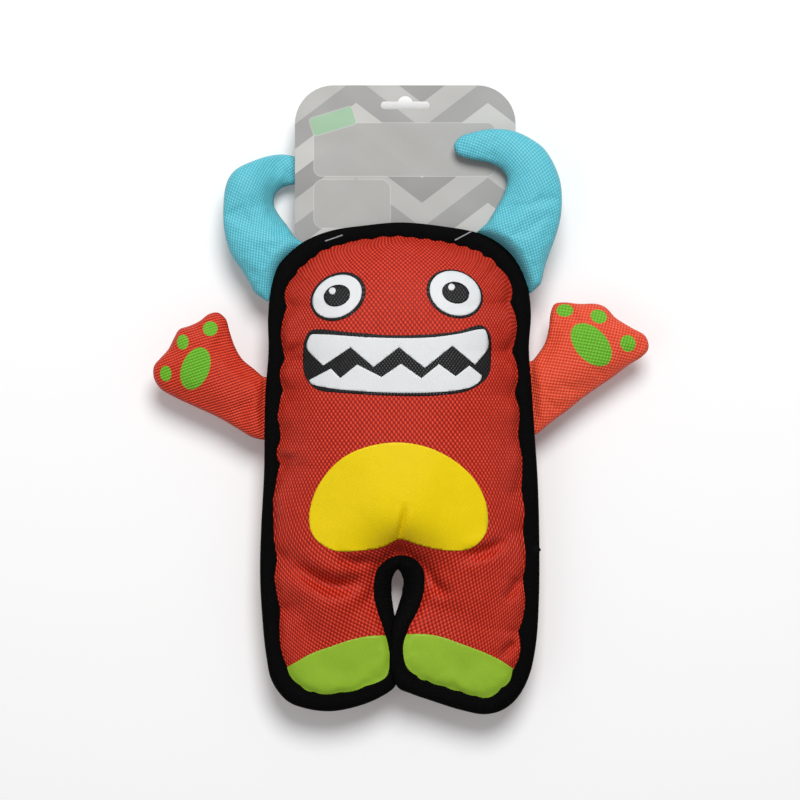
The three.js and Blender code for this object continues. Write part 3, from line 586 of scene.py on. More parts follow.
foldAnchors = photoPoints([edge[:2] for edge in tapeEdgePixels])
leafAnchors = photoPoints([edge[2:] for edge in tapeEdgePixels])
foldLine, leafLine = (smoothLine(anchors, body["seamSteps"]) for anchors in (foldAnchors, leafAnchors))
inward = (leafLine - foldLine) / np.linalg.norm(leafLine - foldLine, axis=1, keepdims=True)
clothEdge = evenLine(foldLine + inward * body["tuck"], body["edgeSpacing"])
leafSeam = evenLine(leafLine, body["leafSpacing"])
leafLength = lengthsAlong(np.vstack([leafSeam, leafSeam[:1]]))[-1]


# Pinches of the gathered cloth at the tape's inner edge: pixel, and how far the edge swings there in pixels
pinchPixels = [
    (391, 237, 2.6), (372, 239, 2.2), (357, 241, 2), (343, 243, 2.2), (328, 247, 2.6), (315, 256, 2.4),
    (304, 262, 2), (292, 271, 2.2), (285, 306, 4), (283, 359, 5), (281, 389, 3.8), (279, 439, 2.2),
    (277.5, 464, 4.6), (275.5, 560, 3), (279.5, 608, 1.9), (286.5, 667, 1.9),
    (300, 686, 1), (314, 693, 2), (340, 693, 1), (366, 688, 1.2), (387, 672, 1.5), (376.5, 600, 1.3),
    (391, 559, 1.2), (415, 560, 1), (411, 633, 0.8), (418, 677, 1.8), (427, 681, 1.5), (444, 687, 1),
    (461, 692, 1.4), (476, 697, 1.2), (502, 690, 2.3), (513, 672, 2.6), (521, 632, 4.2), (524, 579, 2.6),
    (524, 531, 1.6), (522, 490, 2), (519, 436, 2.4), (517, 394, 4.4), (515, 351, 5), (513, 302, 5),
    (497, 265, 2.8), (485, 255, 3), (471, 250, 2.6), (459, 246, 2.2), (448, 243, 2.6), (434, 240, 2.6),
    (420, 238, 2), (406, 237, 1.8),
]
_, _, pinchAlong = nearestOn(photoPoints([pinch[:2] for pinch in pinchPixels]), leafSeam)
pinchOrder = np.argsort(pinchAlong)
pinchSwing = np.array([pinch[2] for pinch in pinchPixels])[pinchOrder] * pixelAcross
pinchAlong = pinchAlong[pinchOrder]


def gathered(along):
    # the gathers' local swing, and its share: above nothing in a pinch, where the cloth is drawn in
    after = np.searchsorted(pinchAlong, along) % len(pinchAlong)
    before = after - 1
    run = (pinchAlong[after] - pinchAlong[before]) % leafLength
    share = (along - pinchAlong[before]) % leafLength / run
    swing = pinchSwing[before] * (1 - share) + pinchSwing[after] * share
    return swing, body["pinch"] - np.sin(math.pi * np.clip(share, 0, 1)) ** body["puffRound"]


leafAlong = nearestOn(leafLine, leafSeam)[2]
leafSwing = np.prod(gathered(leafAlong), axis=0) * body["seamSwing"]
clothSeam = evenLine(leafLine + inward * leafSwing[:, None], body["edgeSpacing"])

# Folds in pixels, with depth and width in metres, and the low rim that a fold pushes up on either side
foldRim = {"share": 0.35, "width": 2.2, "endFade": 0.7, "steps": 8}
bodyFolds = [
    {"line": [(405.5, 505), (403, 518), (398.5, 540)], "depth": 0.006, "width": 0.0021},
    {"line": [(293, 562), (311, 575), (330, 584), (347, 585), (361, 576)], "depth": 0.0135, "width": 0.0065},
    {"line": [(339, 556), (356, 562), (374, 560)], "depth": 0.0065, "width": 0.004},
    {"line": [(424, 568), (432, 582), (441, 590), (450, 592)], "depth": 0.0075, "width": 0.004},
    {"line": [(462, 556), (480, 552), (494, 546), (505, 538)], "depth": 0.008, "width": 0.0045},
    {"line": [(524, 575), (513, 590), (505, 602)], "depth": 0.0065, "width": 0.004},
    {"line": [(523, 640), (510, 648), (500, 658)], "depth": 0.0055, "width": 0.0035},
    {"line": [(277, 455), (287, 459), (299, 458)], "depth": 0.005, "width": 0.0035},
    {"line": [(281, 359), (291, 352), (303, 344)], "depth": 0.0035, "width": 0.003},
]


def foldDent(points, fold):
    line = smoothLine(photoPoints(fold["line"]), foldRim["steps"], closed=False)
    _, gap, along = nearestOn(points, line, closed=False)
    share = along / lengthsAlong(line)[-1]
    fade = np.sin(math.pi * np.clip(share, 0.02, 0.98)) ** foldRim["endFade"]
    aside = gap / fold["width"]
    rim = foldRim["share"] * np.exp(-((aside / foldRim["width"]) ** 2))
    return fold["depth"] * fade * (np.exp(-(aside**2)) - rim)


def legValley(points):
    middle, head, foot = body["creasePixels"]
    aside = (points[:, 0] - columnAt(middle)) / body["creaseWidth"]
    below = np.maximum(0, rowAt(foot) - points[:, 1]) / body["creaseWidth"]
    return body["creaseDepth"] * downRows(points, head, foot) * np.exp(-aside * aside - below * below)


def bodyLevels(points):
    inside = insideLine(points, clothSeam)
    share = np.zeros(len(points))
    share[inside] = smoothStep(stuffedShare(points[inside], clothSeam), 0, 1)
    swell = bodyRise * share
    swell -= np.minimum(legValley(points), swell * body["creaseShare"])
    press = smoothStep(cardFoot - body["cardPressStart"] - points[:, 1], 0, body["cardPressRun"])
    top = seamLevel + body["flange"] + swell
    bottom = seamLevel - body["flange"] - swell * press
    return top, np.maximum(bottom, 0)


# The right leg's tape crosses over the left's at the foot of the slot: pixel row, shift to the left in
# pixels, and share of the lift
crossing = {
    "rows": [
        (588, 0, 0), (607, 2.5, 0.5), (618, 5, 1), (627, 6.4, 1), (645, 7, 1), (665, 6.9, 1), (687, 2.5, 0.9),
        (712, 0, 0),
    ],
    "lift": 0.0047,
    "left": 397.4,           # only what lies to the right of this pixel column moves
    "flat": 400,             # the lift and the shift fade out between these columns
    "end": 434,
}


def crossedOver(places):
    start, flat, end = (columnAt(crossing[key]) for key in ("left", "flat", "end"))
    near = (places[:, 0] > start) & (places[:, 0] < end)
    fade = near * (1 - smoothStep(places[:, 0], flat, end))
    moved = places.copy()
    moved[:, 0] -= acrossRows(places, crossing["rows"], 1) * pixelAcross * fade
    moved[:, 2] += acrossRows(places, crossing["rows"], 2) * crossing["lift"] * fade
    return moved


# The tape's folds lean into the slot between the legs, which stays open: row, and the two folds' columns
slotClosing = {
    "rows": [
        (566, 398.8, 399.2), (570, 397, 401.5), (576, 392, 406.5), (590, 389.5, 408.5), (607, 391.5, 404.5),
        (627, 396, 399.4), (634, 397.2, 397.6),
    ],
    "middle": 397.2,
    "reach": 0.009,
    "shares": (0.3, 0.54),   # how far the left and the right fold go towards the middle
    "sag": 0.005,
    "sagRun": 0.006,         # from the slot's middle to a fold, where the sag is whole
}


def slotClosed(places):
    rows = slotClosing["rows"]
    middle = columnAt(slotClosing["middle"])
    hand = np.where(places[:, 0] > middle, 1, -1)
    folds = [acrossRows(places, rows, k) for k in (1, 2)]
    gap = (np.where(hand > 0, folds[1], folds[0]) - slotClosing["middle"]) * pixelAcross * hand
    gap = np.maximum(gap, 0) * ((places[:, 1] < rowAt(rows[0][0])) & (places[:, 1] > rowAt(rows[-1][0])))
    inset = np.maximum(0, (places[:, 0] - middle) * hand - gap)
    near = np.clip(1 - inset / slotClosing["reach"], 0, 1) ** 2
    moved = places.copy()
    leftShare, rightShare = slotClosing["shares"]
    moved[:, 0] -= hand * gap * near * np.where(hand > 0, rightShare, leftShare)
    moved[:, 2] -= slotClosing["sag"] * near * np.minimum(1, gap / slotClosing["sagRun"])
    return moved


def closerBy(distance):
    # how much cloth the slope beside the seam hides from above
    reach = body["slopeReach"]
    hidden = [math.erfc(value) for value in np.maximum(distance, 0) / reach]
    return body["slopeShare"] * reach * math.sqrt(math.pi) / 2 * np.array(hidden)


def turnWeave(mesh):
    # on the front, the weave runs closer on the slopes, and its rows climb towards the slot
    plan, weave = (readOut(mesh.uv_layers[name].data, "uv", 2) for name in ("plan", "weave"))
    onFront = plan[:, 1] < 0.5
    plan = plan[onFront]
    sides = {"left": leafAnchors[1:22], "right": leafAnchors[-20:-1][::-1]}
    laid = plan.copy()
    for name, line in sides.items():
        hand = 1 if name == "right" else -1
        column = np.interp(-plan[:, 1], -line[:, 1], line[:, 0])
        laid[:, 0] += hand * closerBy((column - plan[:, 0]) * hand)
    crown = np.vstack([leafAnchors[:6], leafAnchors[-6:]])
    crown = crown[np.argsort(crown[:, 0])]
    laid[:, 1] += closerBy(np.interp(plan[:, 0], crown[:, 0], crown[:, 1]) - plan[:, 1])
    slot, aside, row = body["weaveTurnPixels"]
    hand = np.sign(plan[:, 0] - columnAt(slot))
    pivot = np.column_stack([columnAt(slot) + hand * aside * pixelAcross, hand * 0 + rowAt(row)])
    angle = math.radians(body["weaveTurn"]) * hand * downRows(plan, *body["weaveTurnRows"])
    x, y = (laid - pivot).T
    cosine, sine = np.cos(angle), np.sin(angle)
    weave[onFront] = pivot + np.column_stack([x * cosine - y * sine, x * sine + y * cosine])
    mesh.uv_layers["weave"].data.foreach_set("uv", weave.astype(np.float32).ravel())


bodyCloth = sewnPair("body_cloth", clothEdge, body["spacing"], bodyLevels)
places = placesOf(bodyCloth.data)
_, gap, _ = nearestOn(places[:, :2], clothSeam)
inLegs = downRows(places, *body["calmRows"])
calm = smoothStep(gap, *body["calmReach"]) * insideLine(places, clothSeam)
calm *= 1 - (1 - body["calmInLegs"]) * inLegs
plump(bodyCloth, ~insideLine(places, clothSeam), body["swell"], 1 - body["calmHolds"] * calm[:, None])
layWeave(bodyCloth)
turnWeave(bodyCloth.data)
refined(bodyCloth, calm)
places = placesOf(bodyCloth.data)
faceSide = np.where(places[:, 2] > seamLevel, 1, -1)
isFront = places[:, 2] > seamLevel + body["flange"] * 1.01
_, gap, _ = nearestOn(places[:, :2], clothSeam)
_, _, along = nearestOn(places[:, :2], leafSeam)
swing, pinched = gathered(along)
gather = -pinched * swing**2 * body["gatherDepth"] * insideLine(places, clothSeam)
gather *= smoothStep(gap, 0, body["gatherStart"]) * np.exp(-gap / body["gatherReach"])
gather *= 1 - body["gatherFade"] * downRows(places, *body["gatherCalm"])
rise = np.abs(places[:, 2] - seamLevel)
places[:, 2] += faceSide * np.maximum(gather, (body["flange"] - rise) * (gather < 0))
nearSeam = smoothStep(gap, *body["foldFade"])
for fold in bodyFolds:
    places[:, 2] -= foldDent(places[:, :2], fold) * isFront * nearSeam
places = crossedOver(slotClosed(places))
places[:, 2] = np.maximum(places[:, 2], 0)
setPlaces(bodyCloth, places)
# crown and gap tones: painted highlight on the yarns and painted shade between them
redWeave = {
    "pitch": (0.00293, 0.0019), "turn": 0, "lean": 0.58, "dots": 0.45, "height": 0.0005, "roughness": 0.45,
    "crown": (251, 79, 51), "gap": (140, 8, 2),
}
bodyNodes = ("body_front_panel", "body_back_panel", "body_front_wadding", "body_back_wadding")
dress(bodyCloth, wovenMaterial("red woven cloth", redWeave), "red_cloth", *bodyNodes)
print("body cloth sewn")

# Arms and horns: their seams in pixels, from one end of the root line to the other, the ellipses of ink on
# the arms, and each weave's own numbers
limbs = {
    "left_arm": {
        "pixels": [
            (263, 377), (254, 369), (242, 359), (234, 345), (229, 330), (225.5, 318.5), (217, 312),
            (208, 314), (199, 321), (188, 326), (179, 329), (174, 337), (168, 349), (160, 358),
            (153.5, 366), (153.5, 378), (160, 388.5), (172, 396), (193, 406), (217, 417), (241, 431),
            (251, 437), (262, 440),
        ],
        "spots": [
            (210.5, 328.5, 7.4, 7.4, 0), (183, 342, 6, 7.6, 0), (166, 373.5, 5.8, 7.8, 0),
            (196, 368.5, 13.8, 22, -22),
        ],
        # a copy of the body's red cloth with its tones set to how light falls on this arm: painted light and
        # shade
        "weave": {
            "pitch": (0.00274, 0.00123), "turn": -23, "lean": 0.2, "dots": 0.15, "crown": (255, 90, 58),
            "gap": (156, 14, 6),
        },
    },
    "right_arm": {
        "pixels": [
            (537.5, 434), (546, 427), (556, 419), (567, 411), (581, 399.5), (597, 388), (613, 377),
            (629, 365), (643, 356), (649, 348), (646, 336), (632, 327.5), (616, 317.5), (606, 307),
            (597, 303.5), (580, 303.5), (565, 302), (555, 303.5), (551, 312), (549, 328), (545.5, 342),
            (539.5, 352), (532.5, 361),
        ],
        "spots": [
            (564.8, 310.2, 8.4, 6.3, 0), (598.4, 316.4, 8.4, 6.8, -20), (627.7, 343.3, 7.8, 8.4, 20),
            (590.8, 344.7, 15.8, 25.2, 42),
        ],
        # a much paler copy of the body's red cloth: painted light on the arm that tilts towards the lamp
        "weave": {
            "pitch": (0.003, 0.00135), "turn": 33, "lean": 0.5, "dots": 0.2, "crown": (252, 116, 82),
            "gap": (210, 46, 22),
        },
    },
    "left_horn": {
        "pixels": [
            (294, 236), (287, 225), (278, 213), (273, 203), (274.5, 192), (282, 185), (294, 182),
            (306, 181), (317, 178), (321, 170), (314, 161), (296, 154.5), (283, 151.8), (270, 153.4),
            (251, 160.4), (234, 170), (226, 183), (223, 214), (225, 236), (232, 256), (243, 272),
            (255, 293),
        ],
        "weave": {"pitch": (0.00238, 0.00136), "turn": 25, "lean": 0.36},
    },
    "right_horn": {
        "pixels": [
            (540.5, 284), (546, 262), (553, 243), (559, 224), (561.5, 203), (560, 182), (553, 163),
            (543, 148), (530, 138.5), (513, 131), (492, 129), (474, 132), (460, 137), (453.5, 146),
            (458, 155), (474, 160), (490, 163), (501, 169), (507, 179), (503, 195), (496, 208),
            (487, 223),
        ],
        "weave": {"pitch": (0.0025, 0.00138), "turn": -4, "lean": 0.5},
    },
}
limb = {
    "spacing": 0.0017,
    "seamSteps": 8,
    "edgeSpacing": 0.0016,
    "rim": 0.0006,           # half the thickness at the seam
    "rimRun": 0.25,          # share of the stuffing at which the rim is whole
    "armSwell": 0.0075,      # half the thickness that stuffing adds at the fullest place
    "hornSwell": 0.009,
    "tab": 0.010,            # cloth that runs in behind the tape
    "armRamp": 0.006,        # run over which the stuffing fills out, from the root line
    "hornRamp": 0.0065,      # the same for a horn, from the tape's edge
    "cardGap": 0.0004,
    "bendStart": -0.003,     # where the cloth starts and ends its bend, outwards from the root line
    "bendEnd": 0.012,
    "heldPast": 0.001,       # cloth that lies less far past the root line than this doesn't swell
    "heldAtTape": 0.0004,    # nor does cloth under the tape or this near its fold
    "swell": {
        "tension": 16, "shear": 8, "bending": 0.3, "pressure": 3.5, "slack": 0.02, "steps": 16, "cap": 0.0025,
    },
}
leftHornDip = {"from": (238, 243), "to": (290, 200), "depth": 0.0145}  # its tip lies behind the card
rightHornRise = {"height": 0.0082, "start": -0.0004, "run": 0.008}  # it rides up over the card's front
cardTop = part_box("header_card")[1].z
# crown and gap tones: painted highlight on the yarns and painted shade between them
turquoiseWeave = {
    "height": 0.00025, "roughness": 0.45, "dots": 0.2, "crown": (122, 217, 231), "gap": (73, 168, 186),
}
# ink tones, with painted highlight on the yarns and painted shade between them
pawInk = {"crown": (136, 210, 60), "gap": (84, 158, 30)}


def fromTape(points):
    # distance out from the tape's fold, less than nothing under the tape
    gap = nearestOn(points, foldLine)[1]
    return np.where(insideLine(points, foldLine), -gap, gap)


def fullness(out, run):
    # rises steeply at first, as a stuffed root does
    ramp = np.clip(out / run, 0, 1)
    return np.sqrt(ramp * (2 - ramp))


def limbLevels(name, root, rootLevel, outwards, outline):
    isHorn = name in hornLifts
    swell = limb["hornSwell"] if isHorn else limb["armSwell"]

    def levelsOf(points):
        out = fromTape(points) if isHorn else (points - root) @ outwards
        inside = insideLine(points, outline)
        share = np.zeros(len(points))
        share[inside] = stuffedShare(points[inside], outline)
        height = swell * share * fullness(out, limb["hornRamp"] if isHorn else limb["armRamp"])
        middle = rootLevel + (hornLifts[name](points, out) if isHorn else 0)
        half = height + limb["rim"] * np.minimum(1, share / limb["rimRun"])
        top, bottom = middle + half, middle - half
        if name == "right_horn":
            bottom = np.maximum(bottom, np.minimum(top - limb["rim"], cardTop + limb["cardGap"]))
        return top, bottom

    return levelsOf


def leftHornLift(points, out):
    near, far = photoPoint(*leftHornDip["from"]), photoPoint(*leftHornDip["to"])
    across, along = (smoothStep(points[:, k], near[k], far[k]) for k in (0, 1))
    return -leftHornDip["depth"] * across * along


def rightHornLift(points, out):
    return rightHornRise["height"] * fullness(out - rightHornRise["start"], rightHornRise["run"])


hornLifts = {"left_horn": leftHornLift, "right_horn": rightHornLift}
for name, part in limbs.items():
    bend = joints[name + "_bend"]
    root, along = np.array(bend["pos_m"][:2]), np.array(bend["axis"][:2])
    rootLevel = bend["pos_m"][2]
    outwards = np.array([-along[1], along[0]])
    seam = smoothLine(photoPoints(part["pixels"]), limb["seamSteps"], closed=False)
    tabEnds = [seam[-1] - outwards * limb["tab"], seam[0] - outwards * limb["tab"]]
    outline = evenLine(np.vstack([seam, tabEnds]), limb["edgeSpacing"])
    levels = limbLevels(name, root, rootLevel, outwards, outline)
    cloth = sewnPair(name + "_cloth", outline, limb["spacing"], levels)
    places = placesOf(cloth.data)[:, :2]
    held = nearestOn(places, outline)[1] < 1e-5
    held |= (places - root) @ outwards < limb["heldPast"]
    held |= fromTape(places) < limb["heldAtTape"]
    plump(cloth, held, limb["swell"])
    layWeave(cloth)
    refined(cloth)
    isHorn = name in hornLifts
    weave = {**(turquoiseWeave if isHorn else redWeave), **part["weave"]}
    prints = {**pawInk, "spots": part["spots"]} if "spots" in part else None
    cloth.data.materials.append(wovenMaterial(name.replace("_", " ") + " woven cloth", weave, prints))
    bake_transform(cloth)
    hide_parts(*(f"{name}_{piece}" for piece in ("front_panel", "back_panel", "wadding", "root_tab")))
print("arms and horns sewn")

# Films pressed on the front of the body

film = {
    "cut": 0.0013,           # spacing of the cuts that let a film follow the cloth
    "lift": 0.0002,          # top of the first layer over the cloth, and of each next one over the last
    "thickness": 0.00012,
    "least": 0.0003,         # corners closer than this are joined
    "steepest": 0.3,         # least upward share of the cloth's normal that a layer is lifted by
    "gridPitch": (0.0013, 0.0013),
    # grid that carries the black film's painted sheen
    "sheenGridPitch": (0.0021, 0.0015),
    "smudge": 0.06,          # darker patches: their share, and their tone against the film's
    "smudgeTone": 0.72,
    "steps": 8,              # of the smooth line on each stretch between two pixels
    "gumSteps": 6,
    "mouthSpacing": 0.0014,
    "spacing": 0.0016,
    "footTuck": 0.0028,      # how far a foot's film runs in under the tape
    "footSlot": 397.6,       # column of pixels between the feet
    "footReach": 0.06,
    "footGap": 0.0006,       # between the ends of the arc and of the hidden line
}
eyes = {  # layers from the cloth up: middle and half sizes in pixels, turn in degrees, points on the line
    "left": {
        "eye_rim": ((338.6, 297.4), (28.9, 22.8), 30, 72),
        "eye_white": ((337.9, 297.4), (25.6, 20), 30, 72),
        "pupil": ((337.8, 296.7), (13.3, 10.6), 18, 72),
        "glint": ((333.4, 292.2), (3.4, 3.4), 0, 28),
    },
    "right": {
        "eye_rim": ((454.2, 294.8), (28.9, 23.4), -25, 72),
        "eye_white": ((454.6, 294.3), (26, 21.4), -25, 72),
        "pupil": ((454.8, 293.8), (13.6, 10.6), -15, 72),
        "glint": ((450.6, 288.5), (3.4, 3.4), 0, 28),
    },
}
mouthPixels = [
    (312, 331), (350, 333), (390, 336), (426, 335.4), (457, 332), (481, 326), (489, 335), (490, 357),
    (487, 376), (469, 390), (438, 395.4), (400, 396), (351, 393.6), (317, 389), (306, 376), (304, 355),
    (306, 339),
]
upperGum = [
    (474, 365), (486.6, 348.5), (486.7, 339), (483.6, 330.3), (478.7, 330), (456, 335), (428, 338.4),
    (398, 339), (362.5, 337.8), (336, 335.8), (321, 335), (312.5, 335.4), (309.4, 340), (308.2, 348.5),
    (324.4, 366),
]
upperTeeth = [(351.3, 348), (374, 367.4), (399, 348), (424.4, 368.4), (451.6, 346.4)]
lowerGum = [
    (310.2, 380.4), (312.6, 383.8), (317.5, 385.6), (334.4, 388.8), (362.5, 391.3), (400, 393),
    (430, 392.6), (456.3, 390.3), (471.3, 386.6), (479.5, 380), (480.6, 375.9),
]
lowerTeeth = [
    (468.4, 366), (455, 376.6), (438.4, 364.6), (421.2, 378.5), (401, 364.3), (381.8, 377.4),
    (357.8, 365), (341.3, 378.5), (332, 369),
]
bellyPixels = [
    (310, 520), (315, 494), (329, 471), (347, 455), (372, 445), (400, 442), (428, 447), (455, 461),
    (475, 481), (486, 507), (485, 532), (470, 547), (444, 549), (418, 543.5), (400, 538), (383, 546),
    (360, 549.5), (334, 549), (315, 536),
]
footArcs = {
    "left": [(270, 676), (286, 668), (310, 654), (331, 646), (353, 639), (374, 635.5), (398, 637)],
    "right": [(396, 635.5), (418, 633.5), (439, 636), (460, 643), (480, 650.5), (500, 660), (530, 682)],
}

bodySkin = BVHTree.FromObject(bodyCloth, bpy.context.evaluated_depsgraph_get())


def filmPiece(name, outline, layer, material, slotName, *nodes):
    shape = bmesh.new()
    rim = [shape.verts.new((*point, 0)) for point in outline]
    edges = [shape.edges.new((rim[i - 1], rim[i])) for i in range(len(rim))]
    bmesh.ops.triangle_fill(shape, edges=edges, use_beauty=True)
    low, high = outline.min(0), outline.max(0)
    for axis in (0, 1):
        way = Vector((1 - axis, axis, 0))
        for k in range(1, int((high[axis] - low[axis]) / film["cut"])):
            everything = shape.verts[:] + shape.edges[:] + shape.faces[:]
            place = way * (low[axis] + k * film["cut"])
            bmesh.ops.bisect_plane(shape, geom=everything, dist=1e-7, plane_co=place, plane_no=way)
    slanting = []
    for edge in shape.edges:
        ends = [vert.co for vert in edge.verts]
        if min(abs(value) for value in (ends[0] - ends[1]).xy) > 1e-7 and not edge.is_boundary:
            slanting.append(edge)
    bmesh.ops.dissolve_edges(shape, edges=slanting, use_verts=False)
    passed = [vert for vert in shape.verts if len(vert.link_edges) == 2 and not vert.is_boundary]
    bmesh.ops.dissolve_verts(shape, verts=passed)
    bmesh.ops.remove_doubles(shape, verts=shape.verts, dist=film["least"])
    top = film["lift"] * (layer + 1)
    for vert in shape.verts:
        place, normal, _, _ = bodySkin.ray_cast(Vector((vert.co.x, vert.co.y, 0.2)), Vector((0, 0, -1)))
        vert.co = place + normal * top / max(normal.z, film["steepest"])
    bmesh.ops.recalc_face_normals(shape, faces=shape.faces)
    if sum(face.normal.z for face in shape.faces) < 0:
        bmesh.ops.reverse_faces(shape, faces=shape.faces)
    bmesh.ops.solidify(shape, geom=shape.faces[:], thickness=film["thickness"])
    dress(finished(name, shape), material, slotName, *nodes)


def closedLine(pixels, spacing):
    return evenLine(smoothLine(photoPoints(pixels), film["steps"]), spacing)


# the black film's paler crowns are a painted sheen
blackFilm = filmMaterial("black face film", (9, 9, 10), emboss=0.0003, roughness=0.36, paintedSheen=(40, 40, 42))
whiteFilm = filmMaterial("white face film", (224, 226, 228), emboss=0.00008)
yellowFilm = filmMaterial("yellow belly film", (239, 209, 0), emboss=0.0001)
greenFilm = filmMaterial("green foot film", (146, 186, 48), emboss=0.00008)
for side, layers in eyes.items():
    for layer, (part, ellipse) in enumerate(layers.items()):
        material = (blackFilm, whiteFilm)[layer % 2]
        nodes = [side + "_eye_print"] if part == "eye_rim" else []
        filmPiece(f"{side}_{part}", ellipseLine(*ellipse), layer, material, "face_film", *nodes)
mouthLine = closedLine(mouthPixels, film["mouthSpacing"])
filmPiece("mouth_base", mouthLine, 0, blackFilm, "face_film", "mouth_print")
for name, gum, teeth in (("upper_teeth", upperGum, upperTeeth), ("lower_teeth", lowerGum, lowerTeeth)):
    gumLine = smoothLine(photoPoints(gum), film["gumSteps"], closed=False)
    filmPiece(name, np.vstack([gumLine, photoPoints(teeth)]), 1, whiteFilm, "face_film")
bellyLine = closedLine(bellyPixels, film["spacing"])
filmPiece("belly_patch", bellyLine, 0, yellowFilm, "yellow_film", "belly_print")


def footOutline(arc, isLeft):
    # the arc over the foot, closed by a line that lies under the tape
    hidden = evenLine(leafLine - inward * film["footTuck"], film["spacing"])
    arcLine = smoothLine(photoPoints(arc), film["steps"], closed=False)
    slot = columnAt(film["footSlot"])
    below = hidden[:, 1] < np.interp(hidden[:, 0], arcLine[:, 0], arcLine[:, 1])
    chosen = below & ((hidden[:, 0] < slot) if isLeft else (hidden[:, 0] > slot))
    chosen &= np.abs(hidden[:, 0] - arcLine[:, 0].mean()) < film["footReach"]
    start = np.flatnonzero(chosen & ~np.roll(chosen, 1))[0]
    under = np.roll(hidden, -start, 0)[: chosen.sum()]
    under = crossedOver(np.column_stack([under, under[:, 0] * 0]))[:, :2]
    start, end = under[0, 0] + film["footGap"], under[-1, 0] - film["footGap"]
    between = (arcLine[:, 0] > start) & (arcLine[:, 0] < end)
    return np.vstack([under, arcLine[between][::-1]])


for side, arc in footArcs.items():
    outline = footOutline(arc, side == "left")
    filmPiece(side + "_foot_patch", outline, 0, greenFilm, "green_film", side + "_foot_print")
print("films pressed on")

# Folded tape around the edge

tape = {
    "thickness": 0.0009,
    "leafGap": 0.00125,      # from the seam's plane to the inner side of each face
    "fold": 0.0008,
    "foldInset": 0.0004,     # room inside the fold
    "crown": 0.00025,        # how far a face bulges over the cloth's edge
    "crownAt": 0.55,         # share of the face's width, from the fold
    "shoulder": (1.4, 0.0001),  # where the fold starts to turn: share of its inset, and drop
    "turn": (0.35, 0.55),    # halfway round it: share of its inset, and of the half thickness
    "edgeRound": (0.0003, 0.0002),
    "stitchLength": 0.0026,
    "stitchPitch": 0.0036,
    "stitchWidth": 0.00035,
    "stitchInset": 0.0021,
    "stitchLift": 0.7,       # share of the crown
    "lapPixel": (535.4, 550),
    "lapSize": (0.0058, 0.0052, 0.0048),
    "lapTurn": 0.7,
    "lapRound": 0.0009,
    "weavePitch": (0.0016, 0.0007),
    "weaveLean": 0.8,
    "weaveHeight": 0.00015,
    # painted shade between the yarns, and a painted highlight on them
    "tones": ((0, 0, 0), (10, 9, 9)),    # between its yarns, and on them
    # pale specks on the black tape are painted glints
    "glintSpeckTone": (44, 44, 46),
    "glintSpeckShare": 0.35,
}
leafWidth = np.linalg.norm(leafLine - foldLine, axis=1)
foldAlong = lengthsAlong(np.vstack([foldLine, foldLine[:1]]))
innerEdge = leafWidth + leafSwing
outer = tape["leafGap"] + tape["thickness"]
roundIn, roundDown = tape["edgeRound"]
shoulderIn, shoulderDrop = tape["shoulder"]
turnIn, turnUp = tape["turn"]
innerFold = tape["fold"] + tape["foldInset"]
upperFace = [  # distance in from the fold, and height over the seam
    (innerEdge, tape["leafGap"]), (innerEdge, outer - roundDown), (innerEdge - roundIn, outer),
    (innerEdge * tape["crownAt"], outer + tape["crown"]), (tape["fold"] * shoulderIn, outer - shoulderDrop),
    (tape["fold"] * turnIn, outer * turnUp),
]
lowerFace = [(inset, -height) for inset, height in reversed(upperFace)]


def onTape(line, height):
    # a line of points at this height over the seam, as the tape's folds lie
    return crossedOver(slotClosed(np.column_stack([line, np.full(len(line), seamLevel + height)])))


innerSide = [(innerFold, -tape["leafGap"]), (innerFold, tape["leafGap"])]
rings = []
for inset, height in [*upperFace, (0, 0), *lowerFace, *innerSide]:
    rings.append(onTape(foldLine + inward * np.reshape(inset, (-1, 1)), height))


def sweptTape(name, rings):
    shape = bmesh.new()
    stationOf = shape.verts.layers.int.new("station")
    rowOf = shape.verts.layers.int.new("row")
    start = [shape.verts.new(place) for place in rings[0]]
    for station, vert in enumerate(start):
        vert[stationOf] = station
    edges = [shape.edges.new((start[i - 1], start[i])) for i in range(len(start))]
    uv = shape.loops.layers.uv.new("weave")
    for row, ring in enumerate([*rings[1:], rings[0]], start=1):
        made = bmesh.ops.extrude_edge_only(shape, edges=edges)["geom"]
        verts = {part for part in made if isinstance(part, bmesh.types.BMVert)}
        edges = [part for part in made if isinstance(part, bmesh.types.BMEdge)]
        edges = [edge for edge in edges if verts.issuperset(edge.verts)]
        for vert in verts:
            vert[rowOf] = row
            vert.co = ring[vert[stationOf]]
    widths = [0]
    for first, second in zip(rings, [*rings[1:], rings[0]]):
        widths.append(widths[-1] + np.linalg.norm(second - first, axis=1).mean())
    total = foldAlong[-1]
    for face in shape.faces:
        along = [foldAlong[loop.vert[stationOf]] for loop in face.loops]
        wraps = max(along) - min(along) > total / 2
        for loop, place in zip(face.loops, along):
            loop[uv].uv = (place + total if wraps and place < total / 2 else place, widths[loop.vert[rowOf]])
    bmesh.ops.remove_doubles(shape, verts=shape.verts, dist=1e-7)
    bmesh.ops.recalc_face_normals(shape, faces=shape.faces)
    return finished(name, shape)


def tapeMaterial():
    material, tree, shader = newMaterial("black edge tape", Roughness=0.75, Specular_IOR_Level=0.06)
    place = placeOn(tree, "weave")
    crown, chance = yarns(tree, place, tape["weavePitch"], 0, tape["weaveLean"])
    lit = calc(tree, "MULTIPLY", crown, calc(tree, "MULTIPLY_ADD", chance, 0.6, 0.5))
    # specks of painted glint
    glintSpecks = remap(tree, noiseAt(tree, place, 900.0, 2.0), 0.62, 0.74)
    # painted shade between the yarns and painted highlight on them
    colour = mixTones(tree, lit, *(tone(*shade) for shade in tape["tones"]))
    share = calc(tree, "MULTIPLY", glintSpecks, tape["glintSpeckShare"])
    withGlintSpecks = mixTones(tree, share, colour, tone(*tape["glintSpeckTone"]))
    paint(tree, shader, withGlintSpecks, crown, tape["weaveHeight"])
    return material


blackTape = tapeMaterial()
dress(sweptTape("edge_tape", rings), blackTape, "black_tape", "body_edge_binding")


